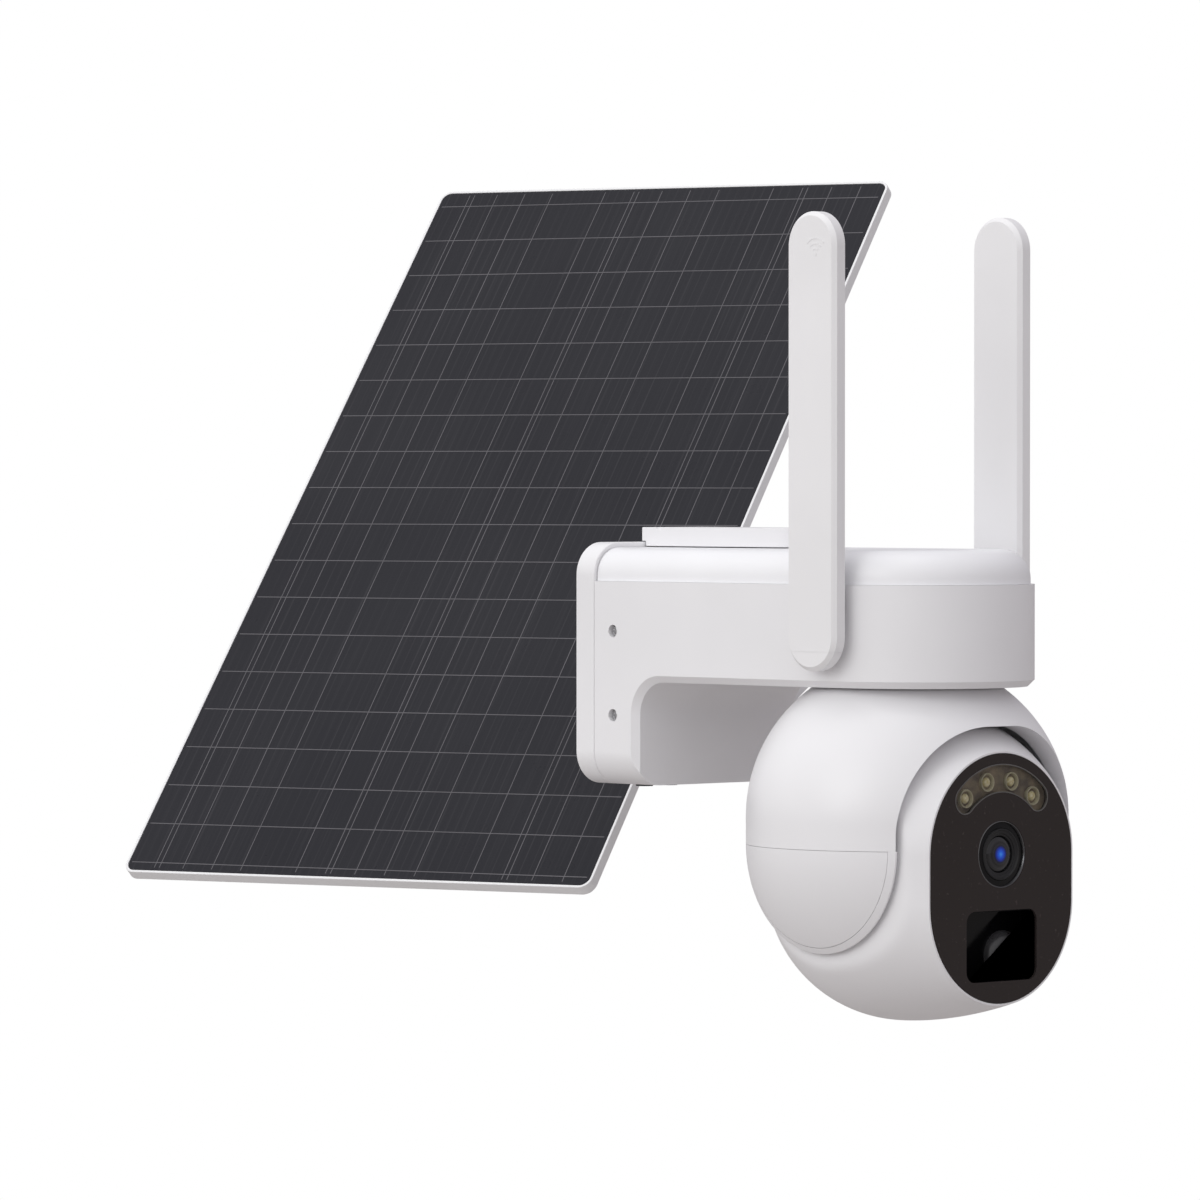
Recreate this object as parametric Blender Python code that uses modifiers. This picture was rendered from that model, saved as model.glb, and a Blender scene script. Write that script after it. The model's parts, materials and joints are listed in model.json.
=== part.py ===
"""A solar-powered pan and tilt security camera on its wall bracket, for Blender 4.5.

Metres, +Z up. The wall plate's back face is at y = 0 and the arm reaches out along -y.
x is across the camera, and +x is the side that carries the solar panel.
"""

import math

import bmesh
import bpy
from mathutils import Matrix, Vector

MM = 0.001

# ---------------------------------------------------------------- clearances
GAP = 0.3 * MM  # between pieces that touch or are glued
RUN = 0.4 * MM  # round a pin or shaft that turns

# ---------------------------------------------------------------- housing
HALF_WIDTH = 34.2 * MM  # of the arm, the leg and the wall plate
PLATE_HALF_HEIGHT = 36.45 * MM
PLATE_THICK = 7.8 * MM
PLATE_CORNER = 10 * MM
WALL = 2.2 * MM
CHAMFER = 2 * MM
PAN_Y = -106.6 * MM  # the pan axis
TIP_AHEAD = 4.4 * MM  # the round tip's centre, ahead of the pan axis
ARM_BOTTOM = -5.2 * MM
ARM_TOP = 24.8 * MM  # where the lid starts
LEG_THICK = 26 * MM  # from the wall to the leg's front face
LEG_FILLET = 10 * MM
LID_INSET = 1.2 * MM
LID_TOP = 34.9 * MM
LID_ROUND = 8.5 * MM
LID_WALL = 3 * MM
RIM_WIDTH = 4.4 * MM  # the ledge round the arm's mouth, which carries the seal
RIM_DEPTH = 2 * MM
SEAL_INSET = 2.3 * MM
SEAL_WIDTH = 1 * MM
SEAL_THICK = 0.8 * MM
BLOCK_HALF_WIDTH = 13.2 * MM
BLOCK_BACK = -5.1 * MM
BLOCK_LENGTH = 69 * MM
BLOCK_TOP = 40.9 * MM
BLOCK_CORNER = 10 * MM
SIDE_SCREW_Y = -16.1 * MM
SIDE_SCREW_Z = (9.9 * MM, -15.4 * MM)
SIDE_SCREW_R = 1.6 * MM
LUG_THICK = 2.6 * MM
WALL_HOLE_R = 2.3 * MM
WALL_HOLES = (22 * MM, 24 * MM)  # half spacing across and up

# ---------------------------------------------------------------- inside the arm
CELL_R = 9.1 * MM
CELL_LENGTH = 65 * MM
CELL_PITCH = 18.6 * MM
CELL_BACK = -12 * MM
TRAY_FLOOR = 1.2 * MM
BOARD_THICK = 1.6 * MM
BOARD_Z = 19.5 * MM
PAN_MOTOR_R = 9 * MM
PAN_MOTOR_HEIGHT = 13 * MM

# ---------------------------------------------------------------- pan drive
NECK_R = 11.6 * MM
NECK_BORE = 8 * MM
BEARING_R = 17 * MM
BEARING_HEIGHT = 3 * MM
GEAR_MODULE = 0.75 * MM
GEAR_TEETH = 48
PINION_TEETH = 12
GEAR_HEIGHT = 3.5 * MM
GEAR_BACKLASH = 0.16 * MM
PRESSURE_ANGLE = math.radians(25)

# ---------------------------------------------------------------- ball head
BALL_R = 47.6 * MM
HEAD_TOP = ARM_BOTTOM - 1.2 * MM
TILT_Z = HEAD_TOP - BALL_R + 2.4 * MM
DOME_RISE = 7.5 * MM  # the dome's centre above the tilt axis
HEAD_WALL = 2.2 * MM
EAR_IN = BALL_R - 13.1 * MM  # the ears' inner faces, from the middle
EAR_R = BALL_R - 16.6 * MM
EAR_POCKET_R = EAR_R - 5 * MM
OPENING_HALF_WIDTH = math.sqrt(BALL_R**2 - EAR_R**2)  # it meets the ears' edges on the ball
OPENING_TOP = TILT_Z + BALL_R - 12.2 * MM
OPENING_CORNER = OPENING_HALF_WIDTH - 5.1 * MM
BROW_INSIDE_R = BALL_R - 1.4 * MM  # the hollow behind the solid brows, about the tilt axis
CEILING_HALF_DEPTH = 22 * MM  # of the higher hollow under the neck
HUB_R = 5 * MM  # the drum's hubs, which turn in the ears

# ---------------------------------------------------------------- tilting drum
DRUM_R = BALL_R - 5.4 * MM
DRUM_HALF_WIDTH = EAR_IN - 0.5 * MM
DRUM_WALL = 2 * MM
CHIN_DROP = 9.9 * MM  # how far the drum's lower half hangs below the tilt axis
CHIN_CURVE = 1.8  # how late the chin rises towards the face
FACE_AHEAD = BALL_R - 9.2 * MM  # the drum's front rim, ahead of the pan axis
FACE_R = DRUM_R - 12.2 * MM
FACE_STRAIGHT = 14 * MM
FACE_Z = TILT_Z - 8.8 * MM
FACE_RIM = 0.6 * MM
WINDOW_THICK = 1.6 * MM
WINDOW_PROUD = 0.2 * MM
LENS_Z = 7 * MM  # above the face's centre
LENS_BEZEL_R = 10 * MM
LENS_BARREL_R = 7.5 * MM
LENS_GLASS_R = 5.2 * MM
LED_RING_R = 0.72 * FACE_R
LED_R = 2.6 * MM
LED_ANGLES = (-40, -13.5, 13.5, 40)
LED_WINDOW_IN = LED_RING_R - 3.6 * MM
LED_WINDOW_OUT = LED_RING_R + 4.7 * MM
LED_WINDOW_HALF_ANGLE = 54
PIR_Z = -0.653 * FACE_R  # below the face's centre
PIR_HALF_WIDTH = 0.487 * FACE_R
PIR_HALF_HEIGHT = 0.343 * FACE_R
PIR_CORNER = 2.6 * MM

# ---------------------------------------------------------------- antennas
ANTENNA_LENGTH = 133.4 * MM
ANTENNA_WIDTH = 20 * MM
ANTENNA_THICK = 5.6 * MM
ANTENNA_CHAMFER = 1.2 * MM
ANTENNA_BOTTOM = -0.2 * MM
ANTENNA_AHEAD = 1.2 * MM
ANTENNA_IN = HALF_WIDTH + 1.7 * MM
ANTENNA_PIN_R = 3 * MM
ANTENNA_HUB_R = 6.5 * MM

# ---------------------------------------------------------------- solar panel and its bracket
PANEL_WIDTH = 171.2 * MM
PANEL_LENGTH = 290.9 * MM
PANEL_CENTRE = (49 * MM, 120.8 * MM, 41.9 * MM)
PANEL_HEADING = math.radians(16.04)  # its level edge, turned from -y towards +x
PANEL_SLOPE = math.radians(49.3)
TRAY_LIP = 0.9 * MM
TRAY_DEPTH = 5.2 * MM
TRAY_CORNER = 4 * MM
TRAY_CHAMFER = 1.6 * MM
LAMINATE_THICK = 2.6 * MM
TUBE_BEHIND = 26 * MM  # the tube's axis, behind the panel's face
TUBE_R = 5.5 * MM
BOSS_LENGTH = 16 * MM
TUBE_PAST = 32 * MM  # how far the tube runs past the panel's centre
SWIVEL_Y = -14 * MM
SWIVEL_R = 8 * MM
SLEEVE_LOW = 6 * MM
SLEEVE_HIGH = 14 * MM
BOLT_R = 3.8 * MM
BOLT_HEAD = 4 * MM
BOLT_PAST = 8 * MM  # how far the bolt stands up into the swivel arm
BRACKET_THICK = 3 * MM
BRACKET_HALF_WIDTH = 6.5 * MM
REACH_HALF_WIDTH = 5 * MM
WEB_LENGTH = 40 * MM
BRACKET_LOW = -21 * MM
BRACKET_HIGH = 15.6 * MM
SADDLE_HALF_LENGTH = 17 * MM
SADDLE_HALF_WIDTH = 11 * MM

# ---------------------------------------------------------------- buttons and inlet, under the leg
BUTTON_R = 2.6 * MM
BUTTON_PROUD = 0.5 * MM
BUTTON_LENGTH = 4 * MM
BUTTON_FLANGE = 1.2 * MM
BUTTON_XS = {"power_button": -12 * MM, "reset_button": -22 * MM}
INLET_X = 8 * MM
INLET_HALF = (4.6 * MM, 1.7 * MM)

# ---------------------------------------------------------------- values that follow
TIP_Y = PAN_Y - TIP_AHEAD
BODY_BACK = -PLATE_THICK - GAP
LUG_BACK_LENGTH = 15 * MM
FLOOR = ARM_BOTTOM + WALL
PINION_R = GEAR_MODULE * PINION_TEETH / 2
GEAR_R = GEAR_MODULE * GEAR_TEETH / 2
PINION_Y = PAN_Y - GEAR_R - PINION_R
BEARING_Z = FLOOR + GAP
GEAR_Z = BEARING_Z + BEARING_HEIGHT + GAP
NECK_TOP = GEAR_Z + GEAR_HEIGHT + 2.5 * MM
DOME_Z = TILT_Z + DOME_RISE
FACE_Y = PAN_Y - FACE_AHEAD
WINDOW_R = FACE_R - FACE_RIM
WINDOW_BACK = FACE_Y - WINDOW_PROUD + WINDOW_THICK
LEG_DEPTH_Y = (BODY_BACK - LEG_THICK) / 2
ANTENNA_Y = PAN_Y - ANTENNA_AHEAD
ANTENNA_Z = ANTENNA_BOTTOM + ANTENNA_WIDTH / 2

LEVEL = Vector((math.sin(PANEL_HEADING), -math.cos(PANEL_HEADING), 0))
OUTWARD = Vector((math.cos(PANEL_HEADING), math.sin(PANEL_HEADING), 0))
UP_SLOPE = OUTWARD * math.cos(PANEL_SLOPE) + Vector((0, 0, math.sin(PANEL_SLOPE)))
FACING = LEVEL.cross(UP_SLOPE)
TUBE_MIDDLE = Vector(PANEL_CENTRE) - FACING * TUBE_BEHIND
TUBE_REACH = (SWIVEL_Y - TUBE_MIDDLE.y) / LEVEL.y
SWIVEL = TUBE_MIDDLE + LEVEL * TUBE_REACH

PARTS = "solar_camera"
CUTTERS = "cutters"


# ---------------------------------------------------------------- scene and materials
def clear_scene():
    for obj in list(bpy.data.objects):
        bpy.data.objects.remove(obj, do_unlink=True)
    for name in (PARTS, CUTTERS):
        collection = bpy.data.collections.new(name)
        bpy.context.scene.collection.children.link(collection)


def material(name, colour, roughness, metallic=0.0):
    found = bpy.data.materials.get(name)
    if found:
        return found
    made = bpy.data.materials.new(name)
    made.use_nodes = True
    shader = made.node_tree.nodes["Principled BSDF"]
    shader.inputs["Base Color"].default_value = (*colour, 1)
    shader.inputs["Roughness"].default_value = roughness
    shader.inputs["Metallic"].default_value = metallic
    made.diffuse_color = (*colour, 1)
    return made


def white():
    return material("white_plastic", (0.86, 0.86, 0.87), 0.42)


def black_gloss():
    return material("black_window", (0.012, 0.011, 0.012), 0.08)


def dark_plastic():
    return material("dark_plastic", (0.03, 0.03, 0.032), 0.5)


def steel():
    return material("steel", (0.6, 0.6, 0.62), 0.35, 1.0)


def board_green():
    return material("circuit_board", (0.02, 0.12, 0.06), 0.5)


def rubber():
    return material("grey_rubber", (0.12, 0.12, 0.13), 0.8)


def gear_nylon():
    return material("gear_nylon", (0.75, 0.74, 0.7), 0.5)


def glass():
    return material("clear_window", (0.55, 0.53, 0.45), 0.1)


# ---------------------------------------------------------------- objects
def empty(name, place, rotation=None):
    made = bpy.data.objects.new(name, None)
    made.empty_display_size = 10 * MM
    matrix = rotation.to_4x4() if rotation else Matrix()
    made.matrix_world = Matrix.Translation(place) @ matrix
    bpy.data.collections[PARTS].objects.link(made)
    return made


def add(name, mesh, finish, axis=None, smooth=True):
    """A part from a mesh in world coordinates, its origin moved to the empty that it turns or slides on."""
    mesh.name = name
    if finish:
        mesh.materials.append(finish)
    made = bpy.data.objects.new(name, mesh)
    bpy.data.collections[PARTS].objects.link(made)
    if axis:
        mesh.transform(axis.matrix_world.inverted())
        made.parent = axis
    if smooth:
        mesh.shade_smooth()
        mesh.set_sharp_from_angle(angle=math.radians(35))
    return made


def cutter(name, mesh):
    mesh.name = name
    made = bpy.data.objects.new(name, mesh)
    made.hide_render = True
    made.display_type = "WIRE"
    bpy.data.collections[CUTTERS].objects.link(made)
    return made


def boolean(obj, other, operation="DIFFERENCE"):
    step = obj.modifiers.new(operation.lower(), "BOOLEAN")
    step.operation = operation
    step.solver = "EXACT"
    step.object = other


def cut(obj, *meshes):
    for index, mesh in enumerate(meshes):
        boolean(obj, cutter(f"{obj.name}_cut_{index}", mesh))


def join(obj, *meshes):
    for index, mesh in enumerate(meshes):
        boolean(obj, cutter(f"{obj.name}_join_{index}", mesh), "UNION")


# ---------------------------------------------------------------- plain shapes, as meshes
def to_mesh(shape):
    mesh = bpy.data.meshes.new("shape")
    bmesh.ops.recalc_face_normals(shape, faces=shape.faces)
    shape.to_mesh(mesh)
    shape.free()
    return mesh


def box(low, high, bevel=0.0):
    shape = bmesh.new()
    bmesh.ops.create_cube(shape, size=1)
    size = [b - a for a, b in zip(low, high)]
    middle = [(a + b) / 2 for a, b in zip(low, high)]
    bmesh.ops.scale(shape, vec=size, verts=shape.verts)
    bmesh.ops.translate(shape, vec=middle, verts=shape.verts)
    if bevel:
        bmesh.ops.bevel(
            shape, geom=shape.edges[:], offset=bevel, segments=2, profile=0.5, affect="EDGES"
        )
    return to_mesh(shape)


AXES = {
    "x": Matrix.Rotation(math.radians(90), 4, "Y"),
    "y": Matrix.Rotation(math.radians(-90), 4, "X"),
    "z": Matrix(),
}


def cylinder(radius, axis, start, end, across=(0.0, 0.0), segments=32, top_radius=None):
    """A cylinder or cone from start to end along an axis, its centre at across on the other two axes."""
    shape = bmesh.new()
    bmesh.ops.create_cone(
        shape,
        cap_ends=True,
        segments=segments,
        radius1=radius,
        radius2=radius if top_radius is None else top_radius,
        depth=end - start,
    )
    middle = (start + end) / 2
    place = {
        "x": (middle, across[0], across[1]),
        "y": (across[0], middle, across[1]),
        "z": (across[0], across[1], middle),
    }[axis]
    bmesh.ops.transform(shape, matrix=Matrix.Translation(place) @ AXES[axis], verts=shape.verts)
    return to_mesh(shape)


def arc(centre, radius, start, end, steps):
    """Points on an arc, by its angles in degrees."""
    return [
        (
            centre[0] + radius * math.cos(math.radians(start + (end - start) * i / steps)),
            centre[1] + radius * math.sin(math.radians(start + (end - start) * i / steps)),
        )
        for i in range(steps + 1)
    ]


def rounded_rectangle(half_width, half_height, corner, centre=(0.0, 0.0), steps=5):
    points = []
    for x, y, start in ((1, 1, 0), (-1, 1, 90), (-1, -1, 180), (1, -1, 270)):
        middle = (centre[0] + x * (half_width - corner), centre[1] + y * (half_height - corner))
        points += arc(middle, corner, start, start + 90, steps)
    return points


def obround(radius, straight, centre=(0.0, 0.0), steps=18):
    """An upright slot shape, round at both ends."""
    top = (centre[0], centre[1] + straight / 2)
    bottom = (centre[0], centre[1] - straight / 2)
    return arc(top, radius, 0, 180, steps) + arc(bottom, radius, 180, 360, steps)


def prism(outlines, low, high, plane):
    """Flat outlines, the later ones as holes, extruded between two levels.

    Plane xy extrudes along z, xz along y, and yz along x.
    """
    curve = bpy.data.curves.new("outline", "CURVE")
    curve.dimensions = "2D"
    curve.fill_mode = "BOTH"
    curve.extrude = (high - low) / 2
    for points in outlines:
        spline = curve.splines.new("POLY")
        spline.points.add(len(points) - 1)
        for point, (x, y) in zip(spline.points, points):
            point.co = (x, y, 0, 1)
        spline.use_cyclic_u = True
    helper = bpy.data.objects.new("outline", curve)
    bpy.context.scene.collection.objects.link(helper)
    bpy.context.view_layer.update()
    graph = bpy.context.evaluated_depsgraph_get()
    mesh = bpy.data.meshes.new_from_object(helper.evaluated_get(graph))
    bpy.data.objects.remove(helper)
    shape = bmesh.new()
    shape.from_mesh(mesh)
    bmesh.ops.remove_doubles(shape, verts=shape.verts, dist=1e-6)
    bmesh.ops.dissolve_limit(
        shape, angle_limit=math.radians(1), verts=shape.verts, edges=shape.edges
    )
    bmesh.ops.translate(shape, vec=(0, 0, (low + high) / 2), verts=shape.verts)
    turn = {
        "xy": Matrix(),
        "xz": Matrix(((1, 0, 0, 0), (0, 0, 1, 0), (0, 1, 0, 0), (0, 0, 0, 1))),
        "yz": Matrix(((0, 0, 1, 0), (1, 0, 0, 0), (0, 1, 0, 0), (0, 0, 0, 1))),
    }[plane]
    bmesh.ops.transform(shape, matrix=turn, verts=shape.verts)
    bpy.data.meshes.remove(mesh)
    return to_mesh(shape)


def bevelled(mesh, offset, wanted, segments=1):
    """Bevels the mesh's edges for which wanted(edge) is true."""
    shape = bmesh.new()
    shape.from_mesh(mesh)
    edges = [edge for edge in shape.edges if wanted(edge)]
    bmesh.ops.bevel(
        shape, geom=edges, offset=offset, segments=segments, profile=0.5, affect="EDGES"
    )
    bmesh.ops.remove_doubles(shape, verts=shape.verts, dist=1e-6)
    bpy.data.meshes.remove(mesh)
    return to_mesh(shape)


def revolved(profile, centre, steps=44):
    """A profile of (radius, height) points turned round a vertical axis, from its top down."""
    mesh = bpy.data.meshes.new("profile")
    points = [(radius, 0, height) for radius, height in profile]
    mesh.from_pydata(points, [(i, i + 1) for i in range(len(points) - 1)], [])
    helper = bpy.data.objects.new("profile", mesh)
    bpy.context.scene.collection.objects.link(helper)
    turn = helper.modifiers.new("turn", "SCREW")
    turn.steps = steps
    turn.render_steps = steps
    turn.use_merge_vertices = True
    turn.merge_threshold = 1e-5
    bpy.context.view_layer.update()
    graph = bpy.context.evaluated_depsgraph_get()
    turned = bpy.data.meshes.new_from_object(helper.evaluated_get(graph))
    bpy.data.objects.remove(helper)
    shape = bmesh.new()
    shape.from_mesh(turned)
    bmesh.ops.remove_doubles(shape, verts=shape.verts, dist=1e-6)
    bmesh.ops.translate(shape, vec=centre, verts=shape.verts)
    bpy.data.meshes.remove(turned)
    return to_mesh(shape)


def ring(outer, inner, axis, start, end, across, segments=40):
    made = cylinder(outer, axis, start, end, across, segments)
    return made, cylinder(inner, axis, start - WALL, end + WALL, across, segments)


# ---------------------------------------------------------------- housing
def arm_outline(inset, back, steps=20):
    """The arm from above: straight sides and a round tip."""
    radius = HALF_WIDTH - inset
    return [(radius, back), (-radius, back)] + arc((0, TIP_Y), radius, 180, 360, steps)


def make_wall_plate():
    plate = prism(
        [rounded_rectangle(HALF_WIDTH, PLATE_HALF_HEIGHT, PLATE_CORNER)], -PLATE_THICK, 0, "xz"
    )
    made = add("wall_plate", plate, white())
    in_x = HALF_WIDTH - WALL - GAP
    for side in (-1, 1):
        ends = sorted((side * in_x, side * (in_x - LUG_THICK)))
        low = (ends[0], -PLATE_THICK - LUG_BACK_LENGTH, SIDE_SCREW_Z[1] - 4 * MM)
        join(made, box(low, (ends[1], -PLATE_THICK + GAP, SIDE_SCREW_Z[0] + 4 * MM)))
    holes = [
        cylinder(WALL_HOLE_R, "y", -PLATE_THICK - GAP, GAP, (x, z), 20)
        for x in (-WALL_HOLES[0], WALL_HOLES[0])
        for z in (-WALL_HOLES[1], WALL_HOLES[1])
    ]
    screws = [
        cylinder(SIDE_SCREW_R + GAP, "x", -HALF_WIDTH, HALF_WIDTH, (SIDE_SCREW_Y, z), 16)
        for z in SIDE_SCREW_Z
    ]
    cut(made, *holes, *screws)


def leg_outline(inset, back):
    """The leg from the side, with the round that leads into the arm."""
    front = -LEG_THICK + inset
    bottom = -PLATE_HALF_HEIGHT + inset
    centre = (-LEG_THICK - LEG_FILLET, ARM_BOTTOM - LEG_FILLET)
    curve = arc(centre, LEG_FILLET + inset, 0, 90, 8)
    top = ARM_BOTTOM + WALL + CHAMFER
    return [(back, bottom), (front, bottom)] + curve + [(centre[0], top), (back, top)]


def make_arm_shell():
    arm = prism([arm_outline(0, BODY_BACK)], ARM_BOTTOM, ARM_TOP, "xy")

    def lower_edge(edge):
        low = all(abs(v.co.z - ARM_BOTTOM) < 1e-6 for v in edge.verts)
        return low and any(v.co.y < BODY_BACK - 1e-6 for v in edge.verts)

    made = add("arm_shell", bevelled(arm, CHAMFER, lower_edge), white())
    leg = prism([leg_outline(0, BODY_BACK)], -HALF_WIDTH, HALF_WIDTH, "yz")

    def front_edge(edge):
        side = all(abs(abs(v.co.x) - HALF_WIDTH) < 1e-6 for v in edge.verts)
        same = abs(edge.verts[0].co.x - edge.verts[1].co.x) < 1e-6
        inner = all(v.co.y < BODY_BACK - 1e-6 and v.co.z < ARM_BOTTOM + 1e-6 for v in edge.verts)
        return side and same and inner

    leg_piece = cutter("leg", bevelled(leg, CHAMFER, front_edge))
    outline = rounded_rectangle(HALF_WIDTH, PLATE_HALF_HEIGHT, PLATE_CORNER)
    corners = cutter("leg_corners", prism([outline], -LEG_THICK * 2, 0, "xz"))
    boolean(leg_piece, corners, "INTERSECT")
    boolean(made, leg_piece, "UNION")
    hollow = prism([arm_outline(WALL, 0)], FLOOR, ARM_TOP - RIM_DEPTH, "xy")
    mouth_outline = arm_outline(RIM_WIDTH, BODY_BACK - RIM_WIDTH)
    mouth = prism([mouth_outline], ARM_TOP - RIM_DEPTH - GAP, ARM_TOP + WALL, "xy")
    leg_hollow = box(
        (WALL - HALF_WIDTH, -LEG_THICK + WALL, -PLATE_HALF_HEIGHT + WALL),
        (HALF_WIDTH - WALL, 0, FLOOR + GAP),
    )
    leg_cut = cutter("leg_hollow", leg_hollow)
    inner_outline = rounded_rectangle(
        HALF_WIDTH - WALL, PLATE_HALF_HEIGHT - WALL, PLATE_CORNER - WALL
    )
    inner_corners = cutter("leg_hollow_corners", prism([inner_outline], -LEG_THICK, WALL, "xz"))
    boolean(leg_cut, inner_corners, "INTERSECT")
    cut(made, hollow, mouth)
    boolean(made, leg_cut)
    neck = cylinder(NECK_R + RUN, "z", ARM_BOTTOM - WALL, FLOOR + WALL, (0, PAN_Y), 40)
    through = (-HALF_WIDTH - WALL, HALF_WIDTH + WALL)
    screws = [
        cylinder(SIDE_SCREW_R + GAP, "x", *through, (SIDE_SCREW_Y, z), 20) for z in SIDE_SCREW_Z
    ]
    pins = cylinder(ANTENNA_PIN_R + RUN, "x", *through, (ANTENNA_Y, ANTENNA_Z), 24)
    leg_bottom = (-PLATE_HALF_HEIGHT - WALL, -PLATE_HALF_HEIGHT + 2 * WALL)
    buttons = [
        cylinder(BUTTON_R + RUN, "z", *leg_bottom, (x, LEG_DEPTH_Y), 24) for x in BUTTON_XS.values()
    ]
    inlet = box(
        (INLET_X - INLET_HALF[0] - GAP, LEG_DEPTH_Y - INLET_HALF[1] - GAP, leg_bottom[0]),
        (INLET_X + INLET_HALF[0] + GAP, LEG_DEPTH_Y + INLET_HALF[1] + GAP, leg_bottom[1]),
    )
    cut(made, neck, *screws, pins, *buttons, inlet)


def make_lid():
    low = ARM_TOP + GAP
    solid = prism([arm_outline(LID_INSET, BODY_BACK)], low, LID_TOP, "xy")

    def top_edge(edge):
        high = all(abs(v.co.z - LID_TOP) < 1e-6 for v in edge.verts)
        return high and any(v.co.y < BODY_BACK - 1e-6 for v in edge.verts)

    made = add("top_lid", bevelled(solid, LID_ROUND, top_edge, 4), white())
    inner_outline = arm_outline(LID_INSET + LID_WALL, BODY_BACK - LID_WALL)
    inner = prism([inner_outline], low - WALL, LID_TOP - WALL, "xy")

    def inner_edge(edge):
        return all(abs(v.co.z - LID_TOP + WALL) < 1e-6 for v in edge.verts)

    groove_in = SEAL_INSET + SEAL_WIDTH + GAP
    groove = prism(
        [
            arm_outline(SEAL_INSET - GAP, BODY_BACK - SEAL_INSET + LID_INSET + GAP),
            arm_outline(groove_in, BODY_BACK - groove_in + LID_INSET),
        ],
        low - GAP,
        low + SEAL_THICK + GAP,
        "xy",
    )
    cut(made, bevelled(inner, LID_ROUND - WALL, inner_edge, 3), groove)
    seal_in = SEAL_INSET + SEAL_WIDTH
    seal = prism(
        [
            arm_outline(SEAL_INSET, BODY_BACK - SEAL_INSET + LID_INSET),
            arm_outline(seal_in, BODY_BACK - seal_in + LID_INSET),
        ],
        low,
        low + SEAL_THICK,
        "xy",
    )
    add("lid_seal", seal, rubber())


def make_top_block():
    block = box(
        (-BLOCK_HALF_WIDTH, BLOCK_BACK - BLOCK_LENGTH, LID_TOP + GAP),
        (BLOCK_HALF_WIDTH, BLOCK_BACK, BLOCK_TOP),
    )

    def upright_front(edge):
        forward = all(v.co.y < BLOCK_BACK - 1e-6 for v in edge.verts)
        return forward and abs(edge.verts[0].co.z - edge.verts[1].co.z) > 1e-6

    made = add("top_block", bevelled(block, BLOCK_CORNER, upright_front, 6), white())
    seat = box(
        (-HALF_WIDTH, -PLATE_THICK - GAP, 0),
        (HALF_WIDTH, WALL, PLATE_HALF_HEIGHT + GAP),
    )
    cut(made, seat)


def make_side_screws():
    for z, level in zip(SIDE_SCREW_Z, ("upper", "lower")):
        for side, tag in ((-1, "near"), (1, "far")):
            outer = HALF_WIDTH - 0.5 * MM if side < 0 else HALF_WIDTH + 1.5 * BRACKET_THICK
            inner = HALF_WIDTH - WALL - LUG_THICK
            ends = sorted((side * outer, side * inner))
            screw = cylinder(SIDE_SCREW_R, "x", *ends, (SIDE_SCREW_Y, z), 16)
            made = add(f"side_screw_{tag}_{level}", screw, steel())
            slot = box(
                (side * outer - 0.5 * MM, SIDE_SCREW_Y - 1 * MM, z - 0.25 * MM),
                (side * outer + 0.5 * MM, SIDE_SCREW_Y + 1 * MM, z + 0.25 * MM),
            )
            cut(made, slot)


def make_battery():
    floor = FLOOR + GAP
    half = 1.5 * CELL_PITCH + 0.5 * MM
    front = CELL_BACK - CELL_LENGTH - 2 * GAP - 1.2 * MM
    tray = box((-half, front, floor), (half, CELL_BACK + 1.2 * MM, floor + TRAY_FLOOR + CELL_R))
    made = add("battery_tray", tray, dark_plastic())
    centre_z = floor + TRAY_FLOOR + GAP + CELL_R
    wells = [
        cylinder(
            CELL_R + GAP, "y", CELL_BACK - CELL_LENGTH - GAP, CELL_BACK + GAP, (x, centre_z), 24
        )
        for x in (-CELL_PITCH, 0, CELL_PITCH)
    ]
    cut(made, *wells)
    for index, x in enumerate((-CELL_PITCH, 0, CELL_PITCH), 1):
        cell = cylinder(CELL_R, "y", CELL_BACK - CELL_LENGTH, CELL_BACK, (x, centre_z), 24)
        add(f"battery_cell_{index}", cell, material("cell_wrap", (0.03, 0.2, 0.35), 0.35))


def make_boards():
    high = (26 * MM, CELL_BACK - 2 * MM, BOARD_Z + BOARD_THICK)
    board = box((-26 * MM, CELL_BACK - CELL_LENGTH, BOARD_Z), high)
    add("main_board", board, board_green())
    module_low = (-15 * MM, CELL_BACK - 46 * MM, BOARD_Z + BOARD_THICK + GAP)
    module_high = (9 * MM, CELL_BACK - 16 * MM, BOARD_Z + BOARD_THICK + GAP + 2.4 * MM)
    add("cellular_module", box(module_low, module_high), steel())
    back = LEG_DEPTH_Y + 5 * MM
    charge_low = (-20 * MM, back, -PLATE_HALF_HEIGHT + WALL + 8 * MM)
    charge_high = (24 * MM, back + BOARD_THICK, -8 * MM)
    add("charge_board", box(charge_low, charge_high), board_green())


def make_inlet():
    low = (INLET_X - INLET_HALF[0], LEG_DEPTH_Y - INLET_HALF[1], -PLATE_HALF_HEIGHT + GAP)
    high = (INLET_X + INLET_HALF[0], LEG_DEPTH_Y + INLET_HALF[1], -PLATE_HALF_HEIGHT + 7.5 * MM)
    made = add("charge_inlet", box(low, high, 0.6 * MM), steel())
    cut(
        made,
        box(
            (low[0] + 0.5 * MM, low[1] + 0.5 * MM, low[2] - WALL),
            (high[0] - 0.5 * MM, high[1] - 0.5 * MM, high[2] - 1 * MM),
        ),
    )


def make_buttons():
    for name, x in BUTTON_XS.items():
        axis = empty(f"{name}_slide", (x, LEG_DEPTH_Y, -PLATE_HALF_HEIGHT))
        low = -PLATE_HALF_HEIGHT - BUTTON_PROUD
        stem = cylinder(BUTTON_R, "z", low, low + BUTTON_LENGTH, (x, LEG_DEPTH_Y), 24)
        made = add(name, stem, rubber(), axis)
        collar = low + BUTTON_PROUD + WALL + GAP
        flange = (collar, collar + BUTTON_FLANGE)
        join(made, cylinder(BUTTON_R + BUTTON_FLANGE, "z", *flange, (x, LEG_DEPTH_Y), 24))


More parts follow.
